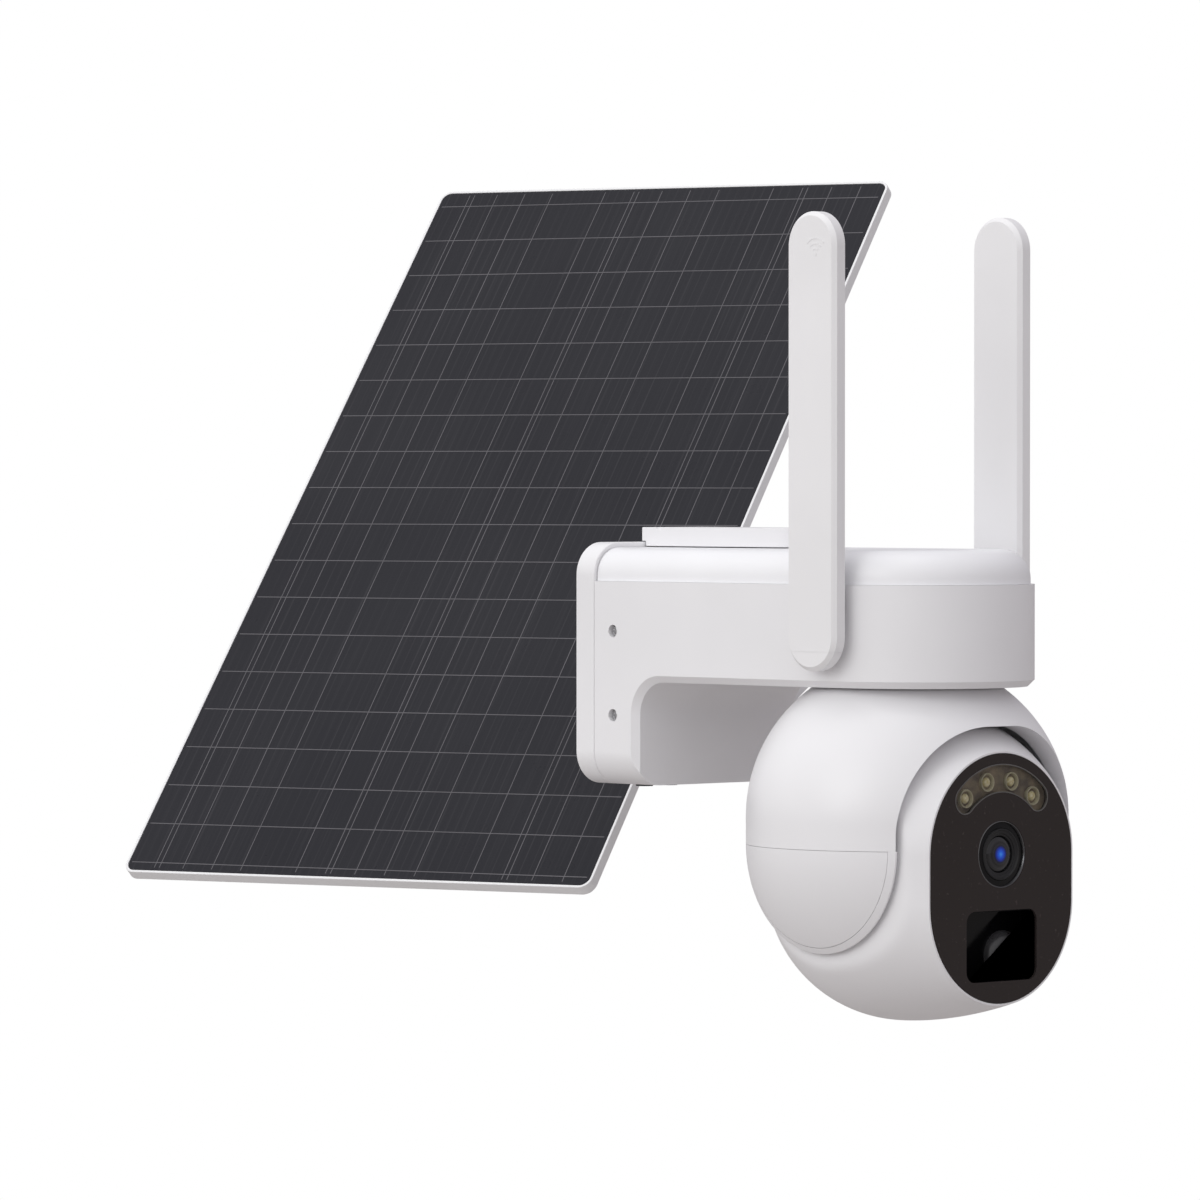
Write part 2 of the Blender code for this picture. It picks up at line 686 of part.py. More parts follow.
# ---------------------------------------------------------------- pan drive
def gear_outline(teeth, flank_steps=2):
    """An involute gear, its teeth thinned by the backlash, with a tooth on the +x side."""
    pitch = GEAR_MODULE * teeth / 2
    base = pitch * math.cos(PRESSURE_ANGLE)
    tip = pitch + 0.9 * GEAR_MODULE
    root = pitch - 1.2 * GEAR_MODULE
    start = max(base, root)

    def involute(radius):
        ratio = min(1.0, base / radius)
        return math.tan(math.acos(ratio)) - math.acos(ratio)

    half = math.pi / (2 * teeth) - GEAR_BACKLASH / (2 * pitch) + involute(pitch)
    radii = [start + (tip - start) * i / flank_steps for i in range(flank_steps + 1)]
    points = []
    for tooth in range(teeth):
        middle = 2 * math.pi * tooth / teeth
        right = [(radius, middle - half + involute(radius)) for radius in radii]
        left = [(radius, middle + half - involute(radius)) for radius in reversed(radii)]
        ends = [(root, middle - half), *right, *left, (root, middle + half)]
        if start == root:
            ends = ends[1:-1]
        points += [(radius * math.cos(a), radius * math.sin(a)) for radius, a in ends]
    return points


def make_pan_drive(pan_axis):
    bearing, hole = ring(
        BEARING_R, NECK_R + RUN, "z", BEARING_Z, BEARING_Z + BEARING_HEIGHT, (0, PAN_Y)
    )
    cut(add("pan_bearing", bearing, steel()), hole)
    hole_outline = arc((0, 0), NECK_R + GAP, 0, 360 - 9, 39)
    gear = prism([gear_outline(GEAR_TEETH), hole_outline], GEAR_Z, GEAR_Z + GEAR_HEIGHT, "xy")
    turn = Matrix.Translation((0, PAN_Y, 0)) @ Matrix.Rotation(math.radians(-90), 4, "Z")
    gear.transform(turn)
    add("pan_gear", gear, gear_nylon(), pan_axis)
    collar_z = GEAR_Z + GEAR_HEIGHT + GAP
    collar, collar_hole = ring(
        NECK_R + 1.4 * MM, NECK_R + GAP, "z", collar_z, collar_z + 1.6 * MM, (0, PAN_Y)
    )
    cut(add("retaining_ring", collar, steel(), pan_axis), collar_hole)

    pinion_axis = empty("pinion_axis", (0, PINION_Y, GEAR_Z))
    pinion = prism([gear_outline(PINION_TEETH)], GEAR_Z, GEAR_Z + GEAR_HEIGHT, "xy")
    half_tooth = math.pi / PINION_TEETH
    turn = Matrix.Translation((0, PINION_Y, 0)) @ Matrix.Rotation(math.pi / 2 + half_tooth, 4, "Z")
    pinion.transform(turn)
    made = add("pan_pinion", pinion, gear_nylon(), pinion_axis)
    motor_low = GEAR_Z + GEAR_HEIGHT + 2 * GAP
    shaft_top = motor_low + 2 * MM
    join(made, cylinder(1.2 * MM, "z", GEAR_Z + MM, shaft_top, (0, PINION_Y), 16))
    can = cylinder(PAN_MOTOR_R, "z", motor_low, motor_low + PAN_MOTOR_HEIGHT, (0, PINION_Y), 32)
    motor = add("pan_motor", can, steel())
    bore = cylinder(1.2 * MM + RUN, "z", motor_low - MM, shaft_top + RUN, (0, PINION_Y), 16)
    cut(motor, bore)


# ---------------------------------------------------------------- ball head
def ball_profile(radius, top, steps=9):
    """Half the ball's outline: a dome raised above the tilt axis, and a round lower half."""
    start = math.degrees(math.asin((top - DOME_Z) / radius))
    dome = arc((0, DOME_Z), radius, start, 0, steps)
    lower = arc((0, TILT_Z), radius, 0, -90, steps)
    return [(0, top)] + dome + lower[:-1] + [(0, TILT_Z - radius)]


def opening_outline(half_width, top, corner):
    side = half_width - corner
    middle = top - corner
    curve = arc((side, middle), corner, 0, 90, 12) + arc((-side, middle), corner, 90, 180, 12)
    low = TILT_Z - BALL_R - WALL
    return [(half_width, low)] + curve + [(-half_width, low)]


def ear_disc(side, radius, low=0.0):
    ends = sorted((side * (EAR_IN - low), side * (BALL_R + WALL)))
    return cylinder(radius, "x", *ends, (PAN_Y, TILT_Z), 48)


def make_head(pan_axis):
    centre = (0, PAN_Y, 0)
    ball = revolved(ball_profile(BALL_R, HEAD_TOP), centre)
    made = add("head_shell", ball, white(), pan_axis)
    inside = ball_profile(BALL_R - HEAD_WALL, HEAD_TOP - HEAD_WALL)
    inner = cutter("head_inner", revolved(inside, centre))
    slab = box((-EAR_IN, -BALL_R * 5, -BALL_R * 3), (EAR_IN, BALL_R, BALL_R))
    boolean(inner, cutter("head_inner_width", slab), "INTERSECT")
    turned = arc((0, TILT_Z), BROW_INSIDE_R, 90, -90, 20)
    hollow = revolved([(0, turned[0][1]), *turned[1:-1], (0, turned[-1][1])], centre, 40)
    brows = cutter("head_between_brows", hollow)
    under_neck = box(
        (-BALL_R, PAN_Y - CEILING_HALF_DEPTH, TILT_Z), (BALL_R, PAN_Y + CEILING_HALF_DEPTH, BALL_R)
    )
    boolean(brows, cutter("head_ceiling", under_neck), "UNION")
    boolean(inner, brows, "INTERSECT")
    boolean(made, inner)
    outline = opening_outline(OPENING_HALF_WIDTH, OPENING_TOP, OPENING_CORNER)
    through = (PAN_Y - BALL_R - WALL, PAN_Y + BALL_R + WALL)
    opening = cutter("head_opening", prism([outline], *through, "xz"))
    for side in (-1, 1):
        boolean(opening, cutter(f"ear_kept_{side}", ear_disc(side, EAR_R, GAP)))
    boolean(made, opening)
    below = box(
        (-BALL_R - WALL, through[0], TILT_Z - BALL_R - WALL), (BALL_R + WALL, through[1], TILT_Z)
    )
    neck = cylinder(NECK_R, "z", HEAD_TOP - HEAD_WALL / 2, NECK_TOP, (0, PAN_Y), 40)
    bore = cylinder(NECK_BORE, "z", HEAD_TOP - 2 * HEAD_WALL, NECK_TOP + MM, (0, PAN_Y), 32)
    cut(made, below)
    join(made, neck)
    boolean(made, cutter("neck_bore", bore))
    for side, tag in ((-1, "near"), (1, "far")):
        pocket = cutter(f"ear_pocket_{tag}", revolved(inside, centre))
        ends = sorted((side * (EAR_IN + HEAD_WALL), side * BALL_R))
        shaped = cylinder(EAR_POCKET_R, "x", *ends, (PAN_Y, TILT_Z), 40)
        boolean(pocket, cutter(f"ear_pocket_width_{tag}", shaped), "INTERSECT")
        hub_ends = sorted((side * (EAR_IN - WALL), side * (EAR_IN + 2 * HEAD_WALL)))
        hub = cylinder(HUB_R + RUN, "x", *hub_ends, (PAN_Y, TILT_Z), 28)
        boolean(made, pocket)
        hub_cut = cutter(f"ear_hub_{tag}", hub)
        boolean(made, hub_cut)
        whole = revolved(ball_profile(BALL_R, HEAD_TOP), centre)
        cover = add(f"ear_cover_{tag}", whole, white(), pan_axis)
        boolean(cover, cutter(f"ear_disc_{tag}", ear_disc(side, EAR_R)), "INTERSECT")
        above = box(
            (-BALL_R - WALL, through[0], TILT_Z - GAP), (BALL_R + WALL, through[1], BALL_R)
        )
        cut(cover, above)
        boolean(cover, pocket)
        boolean(cover, hub_cut)


# ---------------------------------------------------------------- tilting drum
def drum_station(ahead, inset):
    """The drum's half width, and the middles and heights of its upper and lower arcs, at one distance ahead."""
    if ahead >= 0:
        stretch = FACE_AHEAD / math.sqrt(1 - (FACE_R / DRUM_R) ** 2)
        width = DRUM_R * math.sqrt(1 - (ahead / stretch) ** 2)
    else:
        width = math.sqrt(max(DRUM_R**2 - ahead**2, 0))
    forward = max(ahead, 0) / FACE_AHEAD
    face_low = FACE_Z - FACE_STRAIGHT / 2
    face_high = FACE_Z + FACE_STRAIGHT / 2
    upper = TILT_Z + (face_high - TILT_Z) * forward
    chin = TILT_Z - CHIN_DROP
    if ahead >= 0:
        rise = (face_low - FACE_R - chin + DRUM_R) * forward**CHIN_CURVE
        lower = chin - DRUM_R + rise + width
    else:
        lower = chin + CHIN_DROP * (-ahead / DRUM_R) ** 6
    return width - inset, upper, lower


def drum_mesh(inset, around=36):
    """The drum's skin as a loft of upright sections from its back to its front rim."""
    rear = [-math.cos(math.radians(12 + 78 * i / 8)) * (DRUM_R - inset) for i in range(8)]
    front = [FACE_AHEAD * f for f in (0, 0.2, 0.4, 0.55, 0.7, 0.8, 0.88, 0.94, 1.0)]
    if inset:
        front[-1] += WALL
    half_width = DRUM_HALF_WIDTH - inset
    shape = bmesh.new()
    loops = []
    for ahead in rear + front:
        station = min(ahead, FACE_AHEAD)
        if ahead < 0:
            shrunk = DRUM_R * ahead / (DRUM_R - inset)
            width, upper, lower = drum_station(shrunk, 0)
            width *= (DRUM_R - inset) / DRUM_R
        else:
            width, upper, lower = drum_station(station, inset)
        loop = []
        for i in range(around):
            angle = 2 * math.pi * (i + 0.5) / around
            x = max(-half_width, min(half_width, width * math.cos(angle)))
            middle = upper if math.sin(angle) > 0 else lower
            loop.append(shape.verts.new((x, PAN_Y - ahead, middle + width * math.sin(angle))))
        loops.append(loop)
    for first, second in zip(loops, loops[1:]):
        for i in range(around):
            j = (i + 1) % around
            shape.faces.new((first[i], first[j], second[j], second[i]))
    shape.faces.new(loops[0])
    shape.faces.new(loops[-1])
    return to_mesh(shape)


def face_outline(radius, grow=0.0):
    return obround(radius + grow, FACE_STRAIGHT, (0, FACE_Z))


def make_drum(tilt_axis):
    made = add("drum_shell", drum_mesh(0), white(), tilt_axis)
    inner = cutter("drum_inner", drum_mesh(DRUM_WALL))
    keep = box((-BALL_R, WINDOW_BACK + GAP, -3 * BALL_R), (BALL_R, BALL_R, BALL_R))
    boolean(inner, cutter("drum_inner_front", keep), "INTERSECT")
    boolean(made, inner)
    seat = prism([face_outline(WINDOW_R, GAP)], FACE_Y - WALL, WINDOW_BACK + GAP, "xz")
    ledge = prism([face_outline(WINDOW_R - 2 * MM)], FACE_Y - WALL, WINDOW_BACK + 4 * MM, "xz")
    cut(made, seat, ledge)
    for side in (-1, 1):
        ends = sorted((side * (DRUM_HALF_WIDTH - DRUM_WALL / 2), side * (EAR_IN + HEAD_WALL)))
        join_hub = cylinder(HUB_R, "x", *ends, (PAN_Y, TILT_Z), 28)
        boolean(made, cutter(f"drum_hub_{side}", join_hub), "UNION")


def led_window_outline(grow=0.0):
    """A band round the lens, with rounded ends."""
    centre = (0, FACE_Z + LENS_Z)
    inner = LED_WINDOW_IN - grow
    outer = LED_WINDOW_OUT + grow
    middle_r = (outer + inner) / 2
    end_r = (outer - inner) / 2
    half = LED_WINDOW_HALF_ANGLE - math.degrees((end_r - grow) / middle_r)
    points = arc(centre, outer, 90 - half, 90 + half, 20)
    for angle in (90 + half, 90 - half):
        turn = math.radians(angle)
        end = (centre[0] + middle_r * math.cos(turn), centre[1] + middle_r * math.sin(turn))
        if angle > 90:
            points += arc(end, end_r, angle, angle + 180, 8)[1:-1]
            points += arc(centre, inner, 90 + half, 90 - half, 16)
        else:
            points += arc(end, end_r, angle + 180, angle + 360, 8)[1:-1]
    return points


def pir_outline(grow=0.0):
    return rounded_rectangle(
        PIR_HALF_WIDTH + grow, PIR_HALF_HEIGHT + grow, PIR_CORNER + grow, (0, FACE_Z + PIR_Z), 4
    )


def lens_circle(radius, steps=40):
    return arc((0, FACE_Z + LENS_Z), radius, 0, 360 - 360 / steps, steps - 1)


def make_face(tilt_axis):
    front = FACE_Y - WINDOW_PROUD
    holes = [lens_circle(LENS_BEZEL_R + GAP), led_window_outline(GAP), pir_outline(GAP)]
    window = prism([face_outline(WINDOW_R), *holes], front, WINDOW_BACK, "xz")
    add("front_window", window, black_gloss(), tilt_axis)
    led_window = prism([led_window_outline()], front + 0.1 * MM, WINDOW_BACK, "xz")
    add("led_window", led_window, glass(), tilt_axis)
    pir = prism([pir_outline()], front + 0.2 * MM, WINDOW_BACK, "xz")
    add("pir_lens", pir, material("pir_lens", (0.02, 0.02, 0.022), 0.2), tilt_axis)

    lens_at = (0, FACE_Z + LENS_Z)
    bezel, bezel_hole = ring(
        LENS_BEZEL_R, LENS_BARREL_R + GAP, "y", front - 0.3 * MM, WINDOW_BACK, lens_at
    )
    satin = material("bezel", (0.25, 0.25, 0.26), 0.3, 0.6)
    cut(add("lens_bezel", bezel, satin, tilt_axis), bezel_hole)
    barrel_back = WINDOW_BACK + 13 * MM
    barrel = cylinder(LENS_BARREL_R, "y", front + 0.2 * MM, barrel_back, lens_at, 36)
    made = add("lens_barrel", barrel, dark_plastic(), tilt_axis)
    cut(
        made,
        cylinder(LENS_GLASS_R + GAP, "y", front - MM, front + 4 * MM, lens_at, 36),
        cylinder(LENS_GLASS_R - MM, "y", front + 3 * MM, barrel_back + MM, lens_at, 28),
    )
    lens = cylinder(LENS_GLASS_R, "y", front + 1 * MM, front + 4 * MM - GAP, lens_at, 32)
    add("lens_glass", lens, material("lens_glass", (0.02, 0.05, 0.2), 0.03), tilt_axis)
    sensor = box(
        (-13 * MM, barrel_back + GAP, FACE_Z + LENS_Z - 13 * MM),
        (13 * MM, barrel_back + GAP + BOARD_THICK, FACE_Z + LENS_Z + 13 * MM),
    )
    add("sensor_board", sensor, board_green(), tilt_axis)


def make_lights(tilt_axis):
    board_front = WINDOW_BACK + 3 * MM
    outline = [
        *arc((0, FACE_Z + LENS_Z), LED_WINDOW_OUT - 2 * MM, 38, 142, 16),
        *arc((0, FACE_Z + LENS_Z), LED_WINDOW_IN - 3 * MM, 142, 38, 12),
    ]
    board = prism([outline], board_front, board_front + BOARD_THICK, "xz")
    add("led_board", board, board_green(), tilt_axis)
    for index, angle in enumerate(LED_ANGLES, 1):
        turn = math.radians(90 - angle)
        across = (LED_RING_R * math.cos(turn), FACE_Z + LENS_Z + LED_RING_R * math.sin(turn))
        lamp = cylinder(LED_R, "y", WINDOW_BACK + GAP, board_front - GAP, across, 20)
        add(f"spot_led_{index}", lamp, material("led_yellow", (0.85, 0.75, 0.35), 0.3), tilt_axis)
    eye = (0, FACE_Z + PIR_Z)
    can = cylinder(4.6 * MM, "y", WINDOW_BACK + 2 * MM, WINDOW_BACK + 6 * MM, eye, 24)
    add("pir_sensor", can, steel(), tilt_axis)


def make_drum_inside(tilt_axis):
    low = PAN_Y + 12 * MM
    speaker = cylinder(10 * MM, "y", low, low + 5 * MM, (0, TILT_Z - 18 * MM), 28)
    add("speaker", speaker, dark_plastic(), tilt_axis)


def make_tilt_motor(pan_axis):
    """The geared motor in the far ear, which turns the drum's hub."""
    low = EAR_IN + 2 * HEAD_WALL
    can = cylinder(7.5 * MM, "x", low, low + 4.4 * MM, (PAN_Y, TILT_Z), 28)
    add("tilt_motor", can, steel(), pan_axis)


# ---------------------------------------------------------------- antennas
def make_antenna(side, tag):
    axis = empty(f"antenna_{tag}_axis", (side * ANTENNA_IN, ANTENNA_Y, ANTENNA_Z))
    radius = ANTENNA_WIDTH / 2
    straight = ANTENNA_LENGTH - ANTENNA_WIDTH
    middle = (ANTENNA_Y, ANTENNA_BOTTOM + ANTENNA_LENGTH / 2)
    ends = sorted((side * ANTENNA_IN, side * (ANTENNA_IN + ANTENNA_THICK)))
    blade = prism([obround(radius, straight, middle, 12)], *ends, "yz")

    def rim(edge):
        return abs(edge.verts[0].co.x - edge.verts[1].co.x) < 1e-6

    made = add(f"antenna_{tag}", bevelled(blade, ANTENNA_CHAMFER, rim), white(), axis)
    pin = (ANTENNA_Y, ANTENNA_Z)
    inner = HALF_WIDTH - WALL - 2 * MM
    reach = sorted((side * inner, side * (ANTENNA_IN + ANTENNA_THICK / 2)))
    join(made, cylinder(ANTENNA_PIN_R, "x", *reach, pin, 24))

    hub_ends = sorted((side * (HALF_WIDTH + GAP), side * (ANTENNA_IN - GAP)))
    hub, hub_hole = ring(ANTENNA_HUB_R, ANTENNA_PIN_R + RUN, "x", *hub_ends, pin, 28)
    cut(add(f"antenna_hub_{tag}", hub, white()), hub_hole)


# ---------------------------------------------------------------- solar panel and bracket
def make_bracket():
    inner = HALF_WIDTH + GAP
    plate = box(
        (inner, SIDE_SCREW_Y - BRACKET_HALF_WIDTH, BRACKET_LOW),
        (inner + BRACKET_THICK, SIDE_SCREW_Y + BRACKET_HALF_WIDTH, BRACKET_HIGH),
    )
    made = add("panel_bracket", plate, white())
    middle_z = (SLEEVE_LOW + SLEEVE_HIGH) / 2
    root = inner + BRACKET_THICK / 2
    reach = box(
        (root, SWIVEL_Y - REACH_HALF_WIDTH, middle_z - 3 * MM),
        (SWIVEL.x, SWIVEL_Y + REACH_HALF_WIDTH, middle_z + 3 * MM),
    )
    web_outline = [
        (root, middle_z),
        (root, BRACKET_LOW + BRACKET_THICK),
        (inner + WEB_LENGTH, middle_z),
    ]
    half_web = BRACKET_THICK / 2
    web = prism([web_outline], SWIVEL_Y - half_web, SWIVEL_Y + half_web, "xz")
    sleeve = cylinder(SWIVEL_R, "z", SLEEVE_LOW, SLEEVE_HIGH, (SWIVEL.x, SWIVEL_Y), 32)
    join(made, web, reach, sleeve)
    bore = cylinder(
        BOLT_R + GAP, "z", SLEEVE_LOW - MM, SLEEVE_HIGH + MM, (SWIVEL.x, SWIVEL_Y), 24
    )
    across = (HALF_WIDTH - MM, inner + 2 * BRACKET_THICK)
    holes = [
        cylinder(SIDE_SCREW_R + GAP, "x", *across, (SIDE_SCREW_Y, z), 20) for z in SIDE_SCREW_Z
    ]
    cut(made, bore, *holes)
    head_low = SLEEVE_LOW - GAP - BOLT_HEAD
    bolt_top = SLEEVE_HIGH + BOLT_PAST
    bolt = cylinder(5.5 * MM, "z", head_low, SLEEVE_LOW - GAP, (SWIVEL.x, SWIVEL_Y), 6)
    bolt_piece = add("swivel_bolt", bolt, steel())
    join(bolt_piece, cylinder(BOLT_R, "z", head_low + MM, bolt_top, (SWIVEL.x, SWIVEL_Y), 24))


def local(axis_matrix, mesh):
    """Takes a mesh from the panel's own frame to the world."""
    mesh.transform(axis_matrix)
    return mesh


def panel_frame():
    """The panel's own frame: x along its level edge, y up the slope, z out of its face, centred on the tube."""
    turn = Matrix((LEVEL, UP_SLOPE, FACING)).transposed()
    return Matrix.Translation(TUBE_MIDDLE) @ turn.to_4x4()


def make_swivel_arm():
    axis = empty("panel_swivel_axis", SWIVEL)
    low = SLEEVE_HIGH + GAP
    post = cylinder(SWIVEL_R, "z", low, SWIVEL.z + TUBE_R, (SWIVEL.x, SWIVEL_Y), 32)
    made = add("swivel_arm", post, white(), axis)
    frame = panel_frame()
    tube = local(frame, cylinder(TUBE_R, "x", -TUBE_PAST, TUBE_REACH, (0, 0), 28))
    boss_start = TUBE_REACH - BOSS_LENGTH
    boss = local(frame, cylinder(TUBE_R + 1 * MM, "x", boss_start, TUBE_REACH, (0, 0), 28))
    boss_piece = cutter("swivel_arm_boss", boss)
    cap = cutter("swivel_arm_limit", box((-1, -1, 0), (1, 1, SWIVEL.z + TUBE_R)))
    boolean(boss_piece, cap, "INTERSECT")
    join(made, tube)
    boolean(made, boss_piece, "UNION")
    bore_ends = (low - MM, SLEEVE_HIGH + BOLT_PAST + GAP)
    cut(made, cylinder(BOLT_R + GAP, "z", *bore_ends, (SWIVEL.x, SWIVEL_Y), 24))


def make_panel():
    frame = panel_frame()
    axis = empty("panel_tilt_axis", TUBE_MIDDLE, frame.to_3x3())
    face = TUBE_BEHIND
    half = (PANEL_WIDTH / 2, PANEL_LENGTH / 2)
    outline = rounded_rectangle(half[0] + TRAY_LIP, half[1] + TRAY_LIP, TRAY_CORNER)
    tray = prism([outline], face - TRAY_DEPTH, face, "xy")

    def back_edge(edge):
        return all(abs(v.co.z - face + TRAY_DEPTH) < 1e-6 for v in edge.verts)

    made = add("panel_tray", local(frame, bevelled(tray, TRAY_CHAMFER, back_edge)), white(), axis)
    floor = face - LAMINATE_THICK - GAP
    pocket = rounded_rectangle(half[0], half[1], TRAY_CORNER - TRAY_LIP)
    cut(made, local(frame, prism([pocket], floor, face + WALL, "xy")))
    glass_outline = rounded_rectangle(half[0] - GAP / 2, half[1] - GAP / 2, TRAY_CORNER - TRAY_LIP)
    laminate = prism([glass_outline], floor + GAP, face - 0.1 * MM, "xy")
    cells = material("solar_cells", (0.03, 0.03, 0.035), 0.2)
    add("solar_laminate", local(frame, laminate), cells, axis)

    back = face - TRAY_DEPTH - GAP
    saddle = box(
        (-SADDLE_HALF_LENGTH, -SADDLE_HALF_WIDTH, -TUBE_R - 3.5 * MM),
        (SADDLE_HALF_LENGTH, SADDLE_HALF_WIDTH, back),
        1.2 * MM,
    )
    piece = add("panel_saddle", local(frame, saddle), white(), axis)
    bore = cylinder(TUBE_R + RUN, "x", -2 * SADDLE_HALF_LENGTH, 2 * SADDLE_HALF_LENGTH, (0, 0), 28)
    screw_bore = cylinder(
        2 * MM + GAP, "y", -SADDLE_HALF_WIDTH - MM, -TUBE_R + MM, (0, 0), 16
    )
    cut(piece, local(frame, bore), local(frame, screw_bore))
    knob_out = -SADDLE_HALF_WIDTH - GAP
    knob = cylinder(7 * MM, "y", knob_out - 7 * MM, knob_out, (0, 0), 12)
    knob_piece = add("clamp_knob", local(frame, knob), dark_plastic(), axis)
    stem = cylinder(2 * MM, "y", knob_out - 2 * MM, -TUBE_R - GAP - 0.4 * MM, (0, 0), 16)
    join(knob_piece, local(frame, stem))

    box_y = 46 * MM
    half_box = (20 * MM, 13 * MM)
    junction = box(
        (-half_box[0], box_y - half_box[1], back - 9 * MM),
        (half_box[0], box_y + half_box[1], back),
        1.5 * MM,
    )
    add("junction_box", local(frame, junction), dark_plastic(), axis)
    gland_y = box_y - half_box[1] - GAP
    gland_at = (0, back - 4.8 * MM)
    gland = cylinder(3.6 * MM, "y", gland_y - 8 * MM, gland_y, gland_at, 20)
    gland_piece = add("cable_gland", local(frame, gland), rubber(), axis)
    entry = cylinder(1.6 * MM, "y", gland_y - 9 * MM, gland_y - 2 * MM, gland_at, 16)
    cut(gland_piece, local(frame, entry))


def main():
    clear_scene()
    make_wall_plate()
    make_arm_shell()
    make_lid()
    make_top_block()
    make_side_screws()
    make_battery()
    make_boards()
    make_inlet()
    make_buttons()
    pan_axis = empty("head_pan_axis", (0, PAN_Y, TILT_Z))
    make_pan_drive(pan_axis)
    make_head(pan_axis)
    make_tilt_motor(pan_axis)
    tilt_axis = empty("head_tilt_axis", (0, PAN_Y, TILT_Z))
    make_drum(tilt_axis)
    make_face(tilt_axis)
    make_lights(tilt_axis)
    make_drum_inside(tilt_axis)
    for side, tag in ((-1, "near"), (1, "far")):
        make_antenna(side, tag)
    make_bracket()
    make_swivel_arm()
    make_panel()


main()
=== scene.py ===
import json
import math

import bmesh
import bpy
from mathutils import Matrix, Vector


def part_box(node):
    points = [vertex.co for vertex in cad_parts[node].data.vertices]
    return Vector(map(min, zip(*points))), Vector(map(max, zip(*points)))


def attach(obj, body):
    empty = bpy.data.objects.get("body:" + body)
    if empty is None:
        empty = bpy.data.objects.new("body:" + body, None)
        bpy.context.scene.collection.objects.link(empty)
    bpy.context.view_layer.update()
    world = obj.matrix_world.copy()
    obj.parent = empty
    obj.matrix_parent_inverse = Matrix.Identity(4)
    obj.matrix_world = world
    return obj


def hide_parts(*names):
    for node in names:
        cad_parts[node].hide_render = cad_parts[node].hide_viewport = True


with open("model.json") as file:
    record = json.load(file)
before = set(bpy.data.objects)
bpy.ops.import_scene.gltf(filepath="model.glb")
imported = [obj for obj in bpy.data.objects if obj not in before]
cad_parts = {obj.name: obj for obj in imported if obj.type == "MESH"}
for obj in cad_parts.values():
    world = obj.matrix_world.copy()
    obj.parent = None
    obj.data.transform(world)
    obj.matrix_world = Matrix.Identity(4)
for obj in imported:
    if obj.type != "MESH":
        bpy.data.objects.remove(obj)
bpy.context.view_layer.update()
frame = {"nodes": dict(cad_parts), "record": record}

MM = 0.001
JOINTS = {joint["name"]: joint for joint in frame["record"]["behaviour"]["joints"]}
X, Y, Z = range(3)
CLOSE = 1e-6  # nearer than this is the same place


def middle(low, high, axis):
    return (low[axis] + high[axis]) / 2


def half_size(low, high, axis):
    return (high[axis] - low[axis]) / 2


# ---- places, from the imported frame
ARM_LOW, ARM_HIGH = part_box("arm_shell")
LID_LOW, LID_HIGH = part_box("top_lid")
PLATE_LOW, PLATE_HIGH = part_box("wall_plate")
BLOCK_LOW, BLOCK_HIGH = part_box("top_block")
HEAD_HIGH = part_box("head_shell")[1]
WINDOW_LOW, WINDOW_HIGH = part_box("front_window")
BEZEL_LOW, BEZEL_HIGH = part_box("lens_bezel")
PIR_LOW, PIR_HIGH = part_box("pir_lens")
PAN = Vector(JOINTS["head_pan"]["pos_m"])
ANTENNA_AT = JOINTS["antenna_near_swing"]["pos_m"][1:]
TUBE_MIDDLE = Vector(JOINTS["panel_tilt"]["pos_m"])
LEVEL = Vector(JOINTS["panel_tilt"]["axis"]).normalized()

# ---- the housing's own sizes
HALF_WIDTH = ARM_HIGH[X]
BODY_BACK = ARM_HIGH[Y]
ARM_TOP = ARM_HIGH[Z]
LEG_BOTTOM = ARM_LOW[Z]
TIP_Y = ARM_LOW[Y] + HALF_WIDTH
ARM_BOTTOM = -5.2 * MM
LEG_FRONT = -26 * MM
LEG_FILLET = 10 * MM
PLATE_CORNER = 10 * MM
PLATE_DEPTH = 7.8 * MM
PLATE_RIM = 0.5 * MM
WALL_HOLE_AT = (22 * MM, 24 * MM)
WALL_HOLE_R = 2.3 * MM
WALL_HOLE_SINK_R = 4.4 * MM
CHAMFER = 2 * MM
WALL = 2.2 * MM
LID_INSET = 1.2 * MM
LID_ROUND = 8.5 * MM
LID_SEAM = 0.05 * MM
LID_HOLLOW_INSET = 4.2 * MM
LID_SKIRT = 3 * MM
BLOCK_NOSE_CORNER = 13 * MM
BLOCK_TAIL_CORNER = 2.6 * MM
SOFT_EDGE = 0.35 * MM
SIDE_SCREW_Y = -16.1 * MM
SIDE_SCREW_Z = (9.9 * MM, -15.4 * MM)
SIDE_SCREW_HOLE_R = 1.9 * MM
SIDE_SCREW_RISE = 0.9 * MM
SIDE_SCREW_LENGTH = 4 * MM
ANTENNA_PIN_R = 3 * MM
ANTENNA_PIN_END = 30 * MM
ANTENNA_CHAMFER = 1.2 * MM
ANTENNA_COLLAR_R = 6.5 * MM
SIGN_ARCS = ((1.6, 42), (3.1, 44), (4.7, 46))  # radius in mm, and half its sweep in degrees
NECK_R = 12 * MM
BUTTON_HOLE_R = 3 * MM
INLET_GAP = 0.3 * MM
INLET_CORNER = 1.8 * MM

